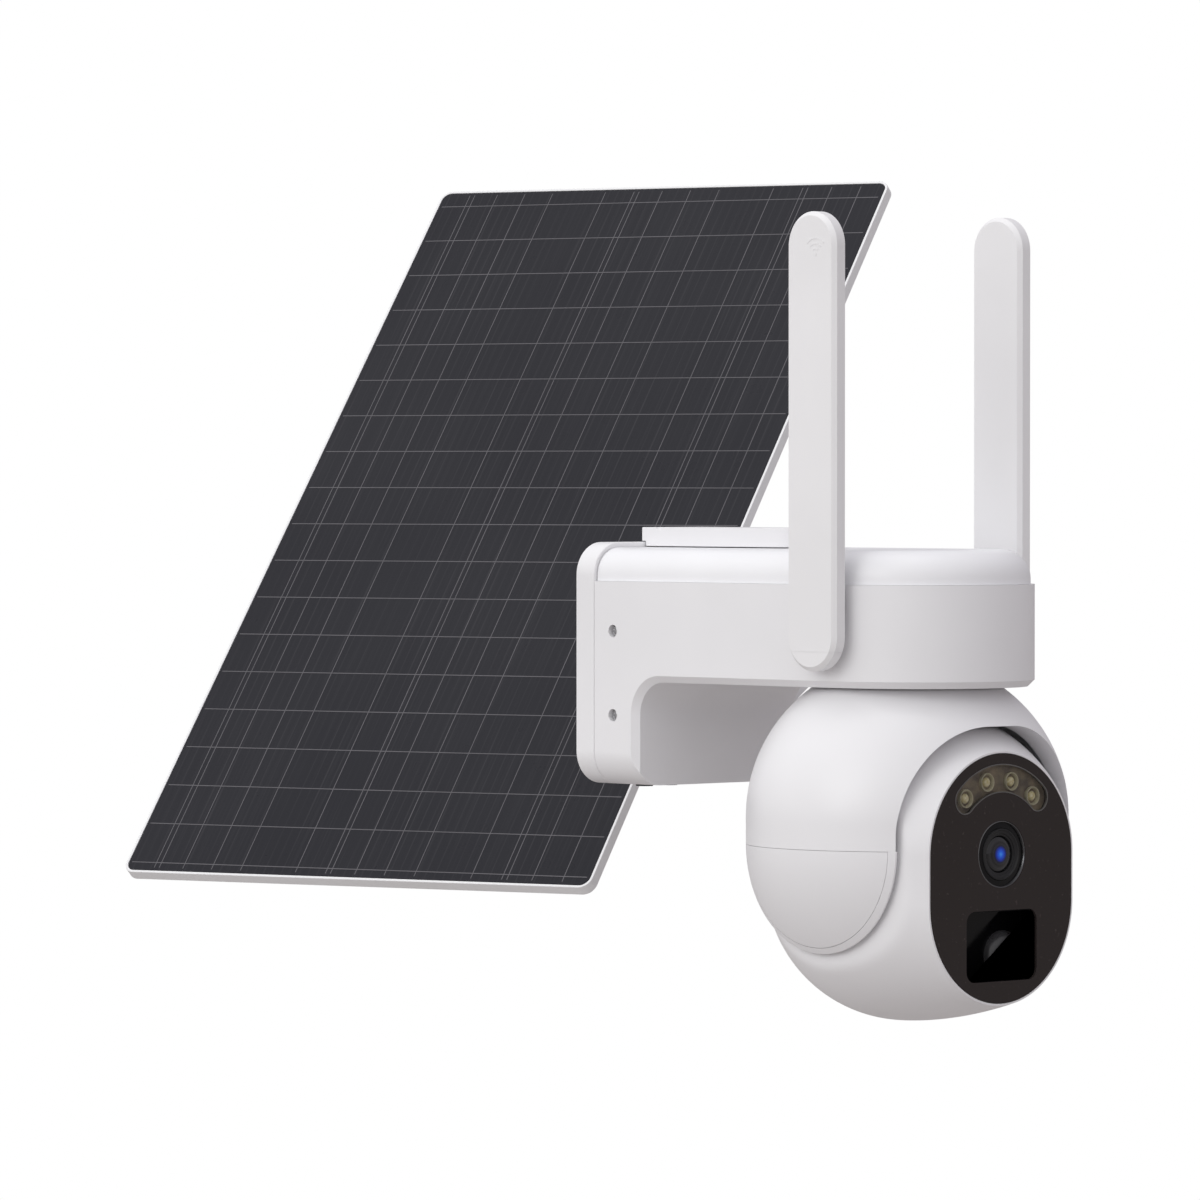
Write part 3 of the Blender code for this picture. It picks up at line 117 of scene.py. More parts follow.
# ---- the ball head's own sizes
BALL_R = HEAD_HIGH[X]
HEAD_TOP = -6.4 * MM
DOME_RISE = 7.5 * MM
HEAD_WALL = 2.2 * MM
EAR_IN = 34.5 * MM
EAR_R = 31 * MM
EAR_SEAM_R = 29.3 * MM
EAR_SEAM_GAP = 0.12 * MM
EAR_POCKET_R = 26 * MM
DOME_EDGE_Z = PAN.z - 0.1 * MM
COVER_EDGE_Z = PAN.z - 0.2 * MM
OPENING_HALF_WIDTH = math.sqrt(BALL_R**2 - EAR_R**2)
OPENING_TOP = -16.2 * MM
OPENING_LOW = -130 * MM
OPENING_CORNER = 31 * MM
BROW_INSIDE_R = BALL_R - 1.4 * MM
CEILING_HALF_DEPTH = 22 * MM
DRUM_R = 42.2 * MM
DRUM_HALF_WIDTH = 34 * MM
DRUM_SIDE_BLEND = 1.2 * MM
DRUM_WALL = 2 * MM
DRUM_HUB_R = 5 * MM
DRUM_REAR_TIP = 2  # degrees off the axis, where the rear closes with a small flat
DRUM_STATIONS = 30
CHIN_DROP = 9.9 * MM
CHIN_CURVE = 1.8
CHIN_TUCK = 6
FACE_AHEAD = 38.4 * MM
FACE_Y = PAN.y - FACE_AHEAD
FACE_R = 30 * MM
FACE_STRAIGHT = 14 * MM
FACE_Z = middle(WINDOW_LOW, WINDOW_HIGH, Z)
FACE_FRONT = WINDOW_LOW[Y]
FACE_BACK = WINDOW_HIGH[Y]
FACE_LIP = 0.55 * MM
LENS_AT = (0.0, middle(BEZEL_LOW, BEZEL_HIGH, Z))
LED_RING_R = 21.6 * MM
LED_ANGLES = (-40, -13.5, 13.5, 40)
LED_BAND = (18 * MM, 26.3 * MM)
LED_HALF_ANGLE = 54
PIR_AT = (0.0, middle(PIR_LOW, PIR_HIGH, Z))
PIR_HALF = (half_size(PIR_LOW, PIR_HIGH, X), half_size(PIR_LOW, PIR_HIGH, Z))
PIR_CORNER = 3.3 * MM
PIR_WALL = 0.3 * MM
PIR_FLOOR = FACE_BACK + 5 * MM
PIR_DOME_R = 7.4 * MM
PIR_DOME_RISE = 4.6 * MM
PIR_DOME_AT = (6.6 * MM, PIR_AT[1] - 3.4 * MM)
LAMP_SEAT = FACE_BACK + 0.2 * MM
LENS_HOLE_R = 9.8 * MM
GLASS_R = 5.3 * MM
GLASS_RISE = 1.3 * MM

# Turned profiles, each point a radius and a depth in mm.
CUP_PROFILE = [(2.75, 0), (2.75, -0.9), (2.6, -1.05), (2.35, -0.95), (2.15, -0.45), (2.1, -0.3), (2.1, 0)]
BEZEL_PROFILE = [(9.8, 1.6), (9.8, -0.05), (9.65, -0.15), (9.45, -0.1), (9.3, 0.25), (9.2, 0.5), (9.2, 1.6)]
SHADE_PROFILE = [(9.2, 2.2), (9.2, 0.5), (8.3, 0.45), (7.7, 0.35), (7.6, 2.2)]
TUBE_PROFILE = [(7.6, 3), (7.6, 0.3), (7.45, 0.1), (7.1, 0.05), (6.9, 0.35), (6.1, 0.5), (6, 0.75)]
TUBE_PROFILE += [(5.45, 0.85), (5.35, 1.2), (5.3, 3)]

# ---- the solar panel's own sizes
PANEL_SLOPE = math.radians(49.3)
PANEL_HALF = (85.6 * MM, 145.45 * MM)
PANEL_FACE = 26 * MM  # from the tube's axis
TRAY_LIP = 0.9 * MM
TRAY_DEPTH = 5.2 * MM
TRAY_CORNER = 4 * MM
TRAY_BACK_EDGE = 1.6 * MM
SHEET_THICK = 2.6 * MM
FINGER_PITCH = 3.32 * MM
ROW_PITCH = 15.64 * MM
ROW_FIRST = 6.2 * MM
ROWS = 19
COLUMN_PERIOD = 64.7 * MM
COLUMN_OFFSETS = (10.6, 12.5, 21.5, 32.4, 43.4, 64.1)  # mm from the left edge
LINE_WIDTH = 0.32 * MM
LINE_MARGIN = 1.2 * MM
TUBE_R = 5.5 * MM
MOUNT_BACK = PANEL_FACE - TRAY_DEPTH - 0.3 * MM
KNOB_STEM_R = 2 * MM
KNOB_FLUTES = 12
BOX_HALF = (20 * MM, 13 * MM)
BOX_Y = 46 * MM
BOX_DEPTH = 9 * MM
SLEEVE_PROFILE = [(3.2, -3), (3.2, -5), (2.3, -8), (1.6, -8), (1.6, -3)]
RIB_PROFILE = [(3.3, 0), (3.55, 0.25), (3.3, 0.5), (3, 0.25)]
OUTWARD = Vector((-LEVEL.y, LEVEL.x, 0))
UP_SLOPE = OUTWARD * math.cos(PANEL_SLOPE) + Vector((0, 0, math.sin(PANEL_SLOPE)))
FACING = LEVEL.cross(UP_SLOPE)
TO_PANEL = Matrix.Translation(TUBE_MIDDLE) @ Matrix((LEVEL, UP_SLOPE, FACING)).transposed().to_4x4()


# ---- material building blocks
def fill_ramp(bands, stops):
    """The stops of a colour ramp, each a position and a colour."""
    while len(bands) < len(stops):
        bands.new(0.5)
    for band, (position, colour) in zip(bands, stops):
        band.position = position
        band.color = (*colour, 1)


class Finish:
    """A material under construction: its node tree, its shader, and the point that a pattern reads."""

    def __init__(self, name, colour, roughness, metallic=0.0, specular=0.5):
        self.material = bpy.data.materials.new(name)
        self.material.use_nodes = True
        self.nodes = self.material.node_tree.nodes
        self.links = self.material.node_tree.links
        self.shader = self.nodes["Principled BSDF"]
        self.set("Base Color", (*colour, 1))
        self.set("Roughness", roughness)
        self.set("Metallic", metallic)
        self.set("Specular IOR Level", specular)
        self.place = self.nodes.new("ShaderNodeTexCoord").outputs["Object"]

    def set(self, socket, value):
        self.shader.inputs[socket].default_value = value

    def node(self, kind, inputs=(), **settings):
        made = self.nodes.new(kind)
        for key, value in settings.items():
            setattr(made, key, value)
        for key, value in dict(inputs).items():
            if isinstance(value, bpy.types.NodeSocket):
                self.links.new(value, made.inputs[key])
            else:
                made.inputs[key].default_value = value
        return made

    def noise(self, scale, detail=2.0, place=None):
        wanted = {"Vector": place or self.place, "Scale": scale, "Detail": detail}
        return self.node("ShaderNodeTexNoise", wanted).outputs["Fac"]

    def ramp(self, value, stops):
        made = self.node("ShaderNodeValToRGB", {"Fac": value})
        fill_ramp(made.color_ramp.elements, stops)
        return made.outputs["Color"]

    def spread(self, value, low, high, start=0.3, end=0.7):
        wanted = {"Value": value, "From Min": start, "From Max": end, "To Min": low, "To Max": high}
        return self.node("ShaderNodeMapRange", wanted).outputs["Result"]

    def mix(self, factor, first, second, blend="MIX"):
        made = self.node("ShaderNodeMix", data_type="RGBA", blend_type=blend)
        sockets = [socket for socket in made.inputs if socket.type == "RGBA"]
        for socket, value in ((made.inputs[0], factor), (sockets[0], first), (sockets[1], second)):
            if isinstance(value, bpy.types.NodeSocket):
                self.links.new(value, socket)
            else:
                socket.default_value = value if isinstance(value, float) else (*value, 1)
        return next(socket for socket in made.outputs if socket.type == "RGBA")

    def bump(self, height, strength, distance):
        wanted = {"Height": height, "Strength": strength, "Distance": distance}
        if self.shader.inputs["Normal"].is_linked:
            wanted["Normal"] = self.shader.inputs["Normal"].links[0].from_socket
        made = self.node("ShaderNodeBump", wanted)
        self.links.new(made.outputs["Normal"], self.shader.inputs["Normal"])

    def drive(self, socket, value):
        self.links.new(value, self.shader.inputs[socket])


def moulded(name, colour, roughness, grain=1900.0, depth=0.02, mottle=0.03, specular=0.5):
    """Injection-moulded plastic: a spark-eroded grain, faint flow mottling and an uneven sheen."""
    made = Finish(name, colour, roughness, specular=specular)
    flow = made.noise(16.0, 3.0)
    light = tuple(min(1.0, c * (1 + mottle)) for c in colour)
    dark = tuple(c * (1 - mottle) for c in colour)
    made.drive("Base Color", made.ramp(flow, ((0.3, dark), (0.7, light))))
    made.drive("Roughness", made.spread(made.noise(45.0, 4.0), roughness - 0.06, roughness + 0.06))
    made.bump(made.noise(grain, 2.0), 0.5, depth * MM)
    return made.material


def turned_steel(name, colour, roughness):
    """Plated steel with fine turning marks and a few dull patches."""
    made = Finish(name, colour, roughness, metallic=1.0)
    marks = made.node("ShaderNodeMapping", {"Vector": made.place, "Scale": (400.0, 400.0, 3000.0)})
    made.bump(made.noise(1.0, 2.0, marks.outputs["Vector"]), 0.3, 0.02 * MM)
    made.drive("Roughness", made.spread(made.noise(120.0, 3.0), roughness - 0.1, roughness + 0.15))
    return made.material


def rubber(name, colour):
    made = Finish(name, colour, 0.75, specular=0.3)
    made.drive("Base Color", made.mix(made.noise(60.0, 4.0), colour, tuple(c * 1.5 for c in colour)))
    made.bump(made.noise(1200.0, 3.0), 0.6, 0.03 * MM)
    return made.material


def circuit_board(name):
    """Solder mask with copper runs and plated pads showing through."""
    made = Finish(name, (0.01, 0.09, 0.04), 0.35)
    runs = made.node("ShaderNodeTexBrick", {"Vector": made.place, "Scale": 260.0, "Mortar Size": 0.03})
    made.drive("Base Color", made.mix(runs.outputs["Fac"], (0.01, 0.08, 0.035), (0.03, 0.2, 0.08)))
    made.bump(runs.outputs["Fac"], 0.4, 0.03 * MM)
    return made.material


def shrink_wrap(name, colour):
    made = Finish(name, colour, 0.3)
    made.drive("Base Color", made.mix(made.noise(30.0, 2.0), colour, tuple(c * 1.4 for c in colour)))
    made.bump(made.noise(220.0, 2.0), 0.3, 0.05 * MM)
    return made.material


def black_acrylic(name, colour, roughness=0.06, specular=0.28):
    """Polished black acrylic, with a trace of dust and of wiping marks in its gloss."""
    made = Finish(name, colour, roughness, specular=specular)
    stretched = made.node("ShaderNodeMapping", {"Vector": made.place, "Scale": (30.0, 30.0, 160.0)})
    wiped = made.noise(1.0, 4.0, stretched.outputs["Vector"])
    made.drive("Roughness", made.spread(wiped, roughness * 0.7, roughness * 2.2))
    dust = made.spread(made.noise(900.0, 2.0), 0.0, 1.0, 0.66, 0.78)
    made.drive("Base Color", made.mix(dust, colour, tuple(c * 1.9 for c in colour)))
    return made.material


def from_lens_axis(made, centre_z, reach):
    """How far a point is from the lens axis, from 0 to 1 at the reach."""
    shifted = made.node("ShaderNodeVectorMath", {0: made.place, 1: (0.0, 0.0, -centre_z)}, operation="ADD")
    scaled = {0: shifted.outputs["Vector"], 1: (1 / reach, 0.0, 1 / reach)}
    flat = made.node("ShaderNodeVectorMath", scaled, operation="MULTIPLY")
    return made.node("ShaderNodeVectorMath", {0: flat.outputs["Vector"]}, operation="LENGTH").outputs["Value"]


def glass_with_painted_reflection(name, centre_z, reach):
    """The front element: a blue pupil in a dark stack of rings. The pupil's blue is the coating's tint,
    painted brighter towards the centre as its reflection.
    """
    made = Finish(name, (0.01, 0.02, 0.08), 0.03, specular=0.3)
    # painted reflection: the first stops are the coating's blue reflection, painted brightest at the centre;
    # the later stops are the dark rings
    stops = (
        (0.0, (0.06, 0.35, 1.0)),
        (0.16, (0.015, 0.13, 0.85)),
        (0.34, (0.006, 0.03, 0.38)),
        (0.46, (0.004, 0.006, 0.03)),
        (0.56, (0.02, 0.02, 0.023)),
        (0.66, (0.006, 0.006, 0.007)),
        (0.8, (0.026, 0.026, 0.028)),
        (0.97, (0.008, 0.008, 0.009)),
    )
    made.drive("Base Color", made.ramp(from_lens_axis(made, centre_z, reach), stops))
    made.drive("Roughness", made.spread(made.noise(300.0, 2.0), 0.02, 0.05))
    made.set("Coat Weight", 0.25)
    made.set("Coat Roughness", 0.02)
    return made.material


def clear_cover(name, tint):
    made = Finish(name, tint, 0.04, specular=0.35)
    made.set("Transmission Weight", 1.0)
    made.set("IOR", 1.2)
    made.drive("Roughness", made.spread(made.noise(200.0, 2.0), 0.0, 0.015))
    return made.material


def lamp_reflector(name):
    """The warm board and reflector round the lamps."""
    made = Finish(name, (0.3, 0.26, 0.2), 0.35, specular=0.4)
    shades = ((0.35, (0.14, 0.125, 0.11)), (0.7, (0.32, 0.27, 0.2)))
    patches = made.ramp(made.noise(260.0, 4.0), shades)
    made.drive("Base Color", patches)
    made.bump(made.noise(600.0, 3.0), 0.4, 0.05 * MM)
    return made.material


def phosphor(name):
    """A lamp's yellow phosphor under its clear dome."""
    made = Finish(name, (0.8, 0.76, 0.45), 0.25)
    grains = made.ramp(made.noise(1500.0, 2.0), ((0.3, (0.7, 0.62, 0.3)), (0.7, (0.92, 0.9, 0.68))))
    made.drive("Base Color", grains)
    made.bump(made.noise(900.0, 2.0), 0.3, 0.04 * MM)
    made.set("Coat Weight", 0.6)
    return made.material


def solar_glass(name):
    """Dark cells under satin glass, with fine fingers up the slope. It reads the sheet's UV, in metres."""
    made = Finish(name, (0.022, 0.022, 0.027), 0.32, specular=0.1)
    across = made.node("ShaderNodeUVMap", uv_map="cells").outputs["UV"]
    part = made.node("ShaderNodeSeparateXYZ", {0: across})
    count = made.node("ShaderNodeMath", {0: part.outputs["X"], 1: FINGER_PITCH}, operation="DIVIDE")
    wave = made.node("ShaderNodeMath", {0: count.outputs[0], 1: 0.5}, operation="PINGPONG")
    finger = made.spread(wave.outputs[0], 1.0, 0.0, 0.0, 0.11)
    streaks = made.node("ShaderNodeMapping", {"Vector": across, "Scale": (900.0, 14.0, 1.0)})
    faint = made.spread(made.noise(1.0, 3.0, streaks.outputs["Vector"]), 0.0, 0.3, 0.35, 0.7)
    broken = made.node("ShaderNodeMath", {0: finger, 1: faint}, operation="MULTIPLY")
    shades = ((0.3, (0.019, 0.019, 0.024)), (0.7, (0.024, 0.024, 0.029)))
    cell = made.ramp(made.noise(11.0, 2.0, across), shades)
    lined = made.mix(broken.outputs[0], cell, (0.075, 0.073, 0.08))
    fleck = made.spread(made.noise(1.0, 2.0, streaks.outputs["Vector"]), 0.0, 0.12, 0.5, 0.75)
    made.drive("Base Color", made.mix(fleck, lined, (0.06, 0.06, 0.066)))
    made.drive("Roughness", made.spread(made.noise(70.0, 3.0), 0.26, 0.4))
    made.bump(made.noise(2600.0, 2.0), 0.15, 0.02 * MM)
    return made.material


WHITE = moulded("white_plastic", (0.83, 0.825, 0.84), 0.45)
LID_WHITE = moulded("lid_white_plastic", (0.86, 0.86, 0.88), 0.36, depth=0.012)
HEAD_WHITE = moulded("head_white_plastic", (0.83, 0.825, 0.84), 0.34, depth=0.008, mottle=0.02)
ANTENNA_WHITE = moulded("antenna_white_plastic", (0.84, 0.835, 0.845), 0.4, depth=0.015)
TRAY_WHITE = moulded("tray_white_plastic", (0.8, 0.8, 0.81), 0.5)
BLACK_PLASTIC = moulded("black_plastic", (0.022, 0.022, 0.024), 0.45, mottle=0.15)
NYLON = moulded("gear_nylon", (0.72, 0.7, 0.62), 0.5, grain=700.0)
STEEL = turned_steel("plated_steel", (0.62, 0.62, 0.63), 0.3)
DARK_STEEL = turned_steel("dark_anodised_ring", (0.14, 0.14, 0.145), 0.28)
RUBBER = rubber("grey_rubber", (0.05, 0.05, 0.053))
BOARD = circuit_board("circuit_board")
WRAP = shrink_wrap("cell_wrap", (0.02, 0.13, 0.26))
FACE_BLACK = black_acrylic("face_acrylic", (0.027, 0.0215, 0.0205), 0.07, 0.22)
DEEP_BLACK = black_acrylic("recess_black", (0.0035, 0.0035, 0.004), 0.12, 0.2)
BARREL_GREY = moulded("barrel_grey", (0.016, 0.016, 0.017), 0.4, 2600.0, mottle=0.08, specular=0.25)
EDGE_GREY = moulded("window_edge_grey", (0.13, 0.125, 0.12), 0.35, grain=2600.0, mottle=0.08)
DETECTOR_GREY = moulded("detector_lens_grey", (0.05, 0.049, 0.052), 0.25, grain=900.0, mottle=0.1)
LENS_GLASS = glass_with_painted_reflection("lens_glass", LENS_AT[1], 5.2 * MM)
COVER = clear_cover("lamp_cover", (0.82, 0.8, 0.76))
REFLECTOR = lamp_reflector("lamp_board")
PHOSPHOR = phosphor("lamp_phosphor")
CELLS = solar_glass("solar_cells")
LAMP_CUP = moulded("lamp_cup_plastic", (0.62, 0.6, 0.46), 0.25, grain=800.0, mottle=0.2)
SILVER_LINE = moulded("printed_silver", (0.118, 0.114, 0.124), 0.45, 3000.0, mottle=0.1, specular=0.2)


# ---- outlines
def arc(centre, radius, start, end, steps):
    """Points on an arc, by its angles in degrees."""
    angles = [math.radians(start + (end - start) * i / steps) for i in range(steps + 1)]
    return [(centre[0] + radius * math.cos(a), centre[1] + radius * math.sin(a)) for a in angles]


def rounded_rectangle(half_width, half_height, corner, centre=(0.0, 0.0), steps=12):
    points = []
    for x, y, start in ((1, 1, 0), (-1, 1, 90), (-1, -1, 180), (1, -1, 270)):
        bend = (centre[0] + x * (half_width - corner), centre[1] + y * (half_height - corner))
        points += arc(bend, corner, start, start + 90, steps)
    return points


def obround(radius, straight, centre, steps=40):
    top = (centre[0], centre[1] + straight / 2)
    bottom = (centre[0], centre[1] - straight / 2)
    return arc(top, radius, 0, 180, steps) + arc(bottom, radius, 180, 360, steps)


def circle(radius, centre, steps=64):
    return arc(centre, radius, 0, 360 - 360 / steps, steps - 1)


def arm_outline(inset, back, steps=56):
    radius = HALF_WIDTH - inset
    return [(radius, back), (-radius, back)] + arc((0, TIP_Y), radius, 180, 360, steps)


def leg_outline():
    centre = (LEG_FRONT - LEG_FILLET, ARM_BOTTOM - LEG_FILLET)
    top = ARM_BOTTOM + WALL + CHAMFER
    curve = arc(centre, LEG_FILLET, 0, 90, 20)
    foot = [(BODY_BACK, LEG_BOTTOM), (LEG_FRONT, LEG_BOTTOM)]
    return foot + curve + [(centre[0], top), (BODY_BACK, top)]


def face_outline(radius):
    return obround(radius, FACE_STRAIGHT, (0, FACE_Z), 48)


def lamp_band(grow=0.0):
    """The band round the lens that the lamps sit in, with rounded ends."""
    inner, outer = LED_BAND[0] - grow, LED_BAND[1] + grow
    middle_r, end_r = (outer + inner) / 2, (outer - inner) / 2
    half = LED_HALF_ANGLE - math.degrees((end_r - grow) / middle_r)
    left, right = (
        (middle_r * math.cos(math.radians(a)), LENS_AT[1] + middle_r * math.sin(math.radians(a)))
        for a in (90 + half, 90 - half)
    )
    points = arc(LENS_AT, outer, 90 - half, 90 + half, 40)
    points += arc(left, end_r, 90 + half, 270 + half, 16)[1:-1]
    points += arc(LENS_AT, inner, 90 + half, 90 - half, 32)
    return points + arc(right, end_r, 270 - half, 450 - half, 16)[1:-1]


# ---- meshes
TURNS = {
    "xy": Matrix(),
    "xz": Matrix(((1, 0, 0, 0), (0, 0, 1, 0), (0, 1, 0, 0), (0, 0, 0, 1))),
    "yz": Matrix(((0, 0, 1, 0), (1, 0, 0, 0), (0, 1, 0, 0), (0, 0, 0, 1))),
}


def to_mesh(shape, outwards=True):
    mesh = bpy.data.meshes.new("shape")
    if outwards:
        bmesh.ops.recalc_face_normals(shape, faces=shape.faces)
    shape.to_mesh(mesh)
    shape.free()
    return mesh


def linked(name, data):
    made = bpy.data.objects.new(name, data)
    bpy.context.scene.collection.objects.link(made)
    return made


def plain_mesh(helper):
    """The evaluated mesh of a helper object, which is then removed."""
    bpy.context.view_layer.update()
    finished = helper.evaluated_get(bpy.context.evaluated_depsgraph_get())
    result = bpy.data.meshes.new_from_object(finished)
    bpy.data.objects.remove(helper)
    return result


def evaluated(mesh, *steps):
    """The mesh with modifiers applied. Each step is a type and its settings."""
    helper = linked("helper", mesh)
    for kind, settings in steps:
        modifier = helper.modifiers.new(kind, kind)
        for key, value in settings.items():
            setattr(modifier, key, value)
    return plain_mesh(helper)


def prism(outlines, low, high, plane="xy"):
    """Flat outlines, the later ones as holes, extruded between two levels.

    Plane xz extrudes along y, and yz along x.
    """
    curve = bpy.data.curves.new("outline", "CURVE")
    curve.dimensions = "2D"
    curve.fill_mode = "BOTH"
    curve.extrude = (high - low) / 2
    for points in outlines:
        spline = curve.splines.new("POLY")
        spline.points.add(len(points) - 1)
        for point, (x, y) in zip(spline.points, points):
            point.co = (x, y, 0, 1)
        spline.use_cyclic_u = True
    shape = bmesh.new()
    shape.from_mesh(evaluated(curve))
    bmesh.ops.remove_doubles(shape, verts=shape.verts, dist=CLOSE)
    flat = math.radians(0.5)
    bmesh.ops.dissolve_limit(shape, angle_limit=flat, verts=shape.verts, edges=shape.edges)
    bmesh.ops.translate(shape, vec=(0, 0, (low + high) / 2), verts=shape.verts)
    bmesh.ops.transform(shape, matrix=TURNS[plane], verts=shape.verts)
    return to_mesh(shape)


def box(low, high):
    shape = bmesh.new()
    bmesh.ops.create_cube(shape, size=1)
    bmesh.ops.scale(shape, vec=[b - a for a, b in zip(low, high)], verts=shape.verts)
    bmesh.ops.translate(shape, vec=[(a + b) / 2 for a, b in zip(low, high)], verts=shape.verts)
    return to_mesh(shape)


AXES = {
    "x": Matrix.Rotation(math.pi / 2, 4, "Y"),
    "y": Matrix.Rotation(-math.pi / 2, 4, "X"),
    "z": Matrix(),
}


def turned(profile, axis, place, steps=96):
    """A profile of (radius, height) points turned round an axis. A radius of zero closes an end."""
    shape = bmesh.new()
    rings = []
    for radius, height in profile:
        if radius <= 0:
            rings.append([shape.verts.new((0, 0, height))])
            continue
        angles = [2 * math.pi * i / steps for i in range(steps)]
        around = [(radius * math.cos(a), radius * math.sin(a), height) for a in angles]
        rings.append([shape.verts.new(point) for point in around])
    for first, second in zip(rings, rings[1:]):
        for i in range(steps):
            j = (i + 1) % steps
            corners = [first[i % len(first)], first[j % len(first)]]
            corners += [second[j % len(second)], second[i % len(second)]]
            shape.faces.new(list(dict.fromkeys(corners)))
    bmesh.ops.transform(shape, matrix=Matrix.Translation(place) @ AXES[axis], verts=shape.verts)
    return to_mesh(shape)


def rod(radius, axis, start, end, across=(0.0, 0.0), steps=48, edge=0.0):
    """A round bar from start to end along an axis, with chamfered ends."""
    place = {"x": (0, *across), "y": (across[0], 0, across[1]), "z": (*across, 0)}[axis]
    wall = [(radius, start), (radius, end)]
    if edge:
        wall = [(radius - edge, start), (radius, start + edge), (radius, end - edge), (radius - edge, end)]
    return turned([(0, start), *wall, (0, end)], axis, place, steps)


def span(side, first, last):
    """The two ends, in rising order, of a stretch along x on one side."""
    return sorted((side * first, side * last))


def combined(mesh, others, operation="DIFFERENCE"):
    """The mesh with each of the others cut away, added or kept."""
    for other in others:
        tool = linked("tool", other)
        settings = {"operation": operation, "solver": "EXACT", "object": tool}
        mesh = evaluated(mesh, ("BOOLEAN", settings))
        bpy.data.objects.remove(tool)
    return mesh


def lies_at(edge, axis, level):
    """Whether both ends of an edge are at a level along an axis."""
    return all(abs(end.co[axis] - level) < CLOSE for end in edge.verts)


def bevelled(mesh, offset, wanted, segments=1):
    """The mesh with the wanted edges cut off, or rounded where there are several segments."""
    shape = bmesh.new()
    shape.from_mesh(mesh)
    edges = [edge for edge in shape.edges if wanted(edge)]
    bmesh.ops.bevel(shape, geom=edges, offset=offset, segments=segments, profile=0.5, affect="EDGES")
    bmesh.ops.remove_doubles(shape, verts=shape.verts, dist=CLOSE)
    return to_mesh(shape)


def softened(mesh, width=SOFT_EDGE, segments=2, angle=32):
    """The mesh with each sharp edge rounded off a little, as a mould leaves it."""
    settings = {"width": width, "segments": segments, "use_clamp_overlap": True, "harden_normals": False}
    limit = {"limit_method": "ANGLE", "angle_limit": math.radians(angle)}
    return evaluated(mesh, ("BEVEL", {**settings, **limit}))


def on_panel(mesh):
    """The mesh moved from the panel's own axes, where z is its facing, into the frame."""
    mesh.transform(TO_PANEL)
    return mesh


def piece(name, mesh, finish, body, slot, *nodes, sharp=38):
    """A finished piece that rides on a body and stands for CAD nodes."""
    mesh.shade_smooth()
    mesh.set_sharp_from_angle(angle=math.radians(sharp))
    mesh = evaluated(mesh, ("WEIGHTED_NORMAL", {"keep_sharp": True}))
    mesh.materials.clear()
    mesh.materials.append(finish)
    made = linked(name, mesh)
    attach(made, body)
    if nodes:
        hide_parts(*nodes)
    return made


# ---- repeats, as Geometry Nodes
def repeat_tree(name, circular):
    """Copies of the object's own mesh, along a line or round an axis, as real geometry with a material."""
    tree = bpy.data.node_groups.new(name, "GeometryNodeTree")
    face = tree.interface
    face.new_socket("Shape", in_out="INPUT", socket_type="NodeSocketGeometry")
    face.new_socket("Count", in_out="INPUT", socket_type="NodeSocketInt")
    face.new_socket("Step", in_out="INPUT", socket_type="NodeSocketVector")
    face.new_socket("Finish", in_out="INPUT", socket_type="NodeSocketMaterial")
    face.new_socket("Shape", in_out="OUTPUT", socket_type="NodeSocketGeometry")
    nodes, links = tree.nodes, tree.links
    given = nodes.new("NodeGroupInput")
    result = nodes.new("NodeGroupOutput")
    line = nodes.new("GeometryNodeMeshLine")
    line.mode = "OFFSET"
    links.new(given.outputs["Count"], line.inputs["Count"])
    copies = nodes.new("GeometryNodeInstanceOnPoints")
    links.new(line.outputs["Mesh"], copies.inputs["Points"])
    links.new(given.outputs["Shape"], copies.inputs["Instance"])
    if circular:
        index = nodes.new("GeometryNodeInputIndex")
        turn = nodes.new("ShaderNodeVectorMath")
        turn.operation = "SCALE"
        links.new(given.outputs["Step"], turn.inputs[0])
        links.new(index.outputs["Index"], turn.inputs["Scale"])
        links.new(turn.outputs["Vector"], copies.inputs["Rotation"])
        line.inputs["Offset"].default_value = (0, 0, 0)
    else:
        links.new(given.outputs["Step"], line.inputs["Offset"])
    real = nodes.new("GeometryNodeRealizeInstances")
    links.new(copies.outputs["Instances"], real.inputs["Geometry"])
    finish = nodes.new("GeometryNodeSetMaterial")
    links.new(real.outputs["Geometry"], finish.inputs["Geometry"])
    links.new(given.outputs["Finish"], finish.inputs["Material"])
    links.new(finish.outputs["Geometry"], result.inputs["Shape"])
    return tree


ALONG_LINE = repeat_tree("copies along a line", False)
ROUND_AXIS = repeat_tree("copies round an axis", True)


def repeated(mesh, tree, count, step, finish):
    """The mesh that the tree makes of the shape, as plain geometry."""
    helper = linked("repeat", mesh)
    modifier = helper.modifiers.new("repeat", "NODES")
    modifier.node_group = tree
    given = [item for item in tree.interface.items_tree if item.in_out == "INPUT"]
    sockets = {item.name: item.identifier for item in given}
    modifier[sockets["Count"]] = count
    modifier[sockets["Step"]] = step
    modifier[sockets["Finish"]] = finish
    return plain_mesh(helper)


def merged(*meshes):
    """Several meshes as one."""
    shape = bmesh.new()
    for mesh in meshes:
        shape.from_mesh(mesh)
    return to_mesh(shape, outwards=False)


# ---- housing
def make_wall_plate():
    outline = rounded_rectangle(PLATE_HIGH[X], PLATE_HIGH[Z], PLATE_CORNER, steps=16)
    plate = prism([outline], -PLATE_DEPTH, 0, "xz")
    plate = bevelled(plate, PLATE_RIM, lambda edge: lies_at(edge, Y, -PLATE_DEPTH), 2)
    outside, sink_floor = -2 * PLATE_DEPTH, -PLATE_DEPTH + MM
    sink = [(0, outside), (WALL_HOLE_SINK_R, outside), (WALL_HOLE_SINK_R, sink_floor)]
    bore = [(WALL_HOLE_R, -PLATE_DEPTH + 3 * MM), (WALL_HOLE_R, MM), (0, MM)]
    holes = [
        turned(sink + bore, "y", (x * WALL_HOLE_AT[0], 0, z * WALL_HOLE_AT[1]), 40)
        for x in (-1, 1)
        for z in (-1, 1)
    ]
    piece("back_plate", softened(combined(plate, holes)), WHITE, "housing", "white_plastic", "wall_plate")


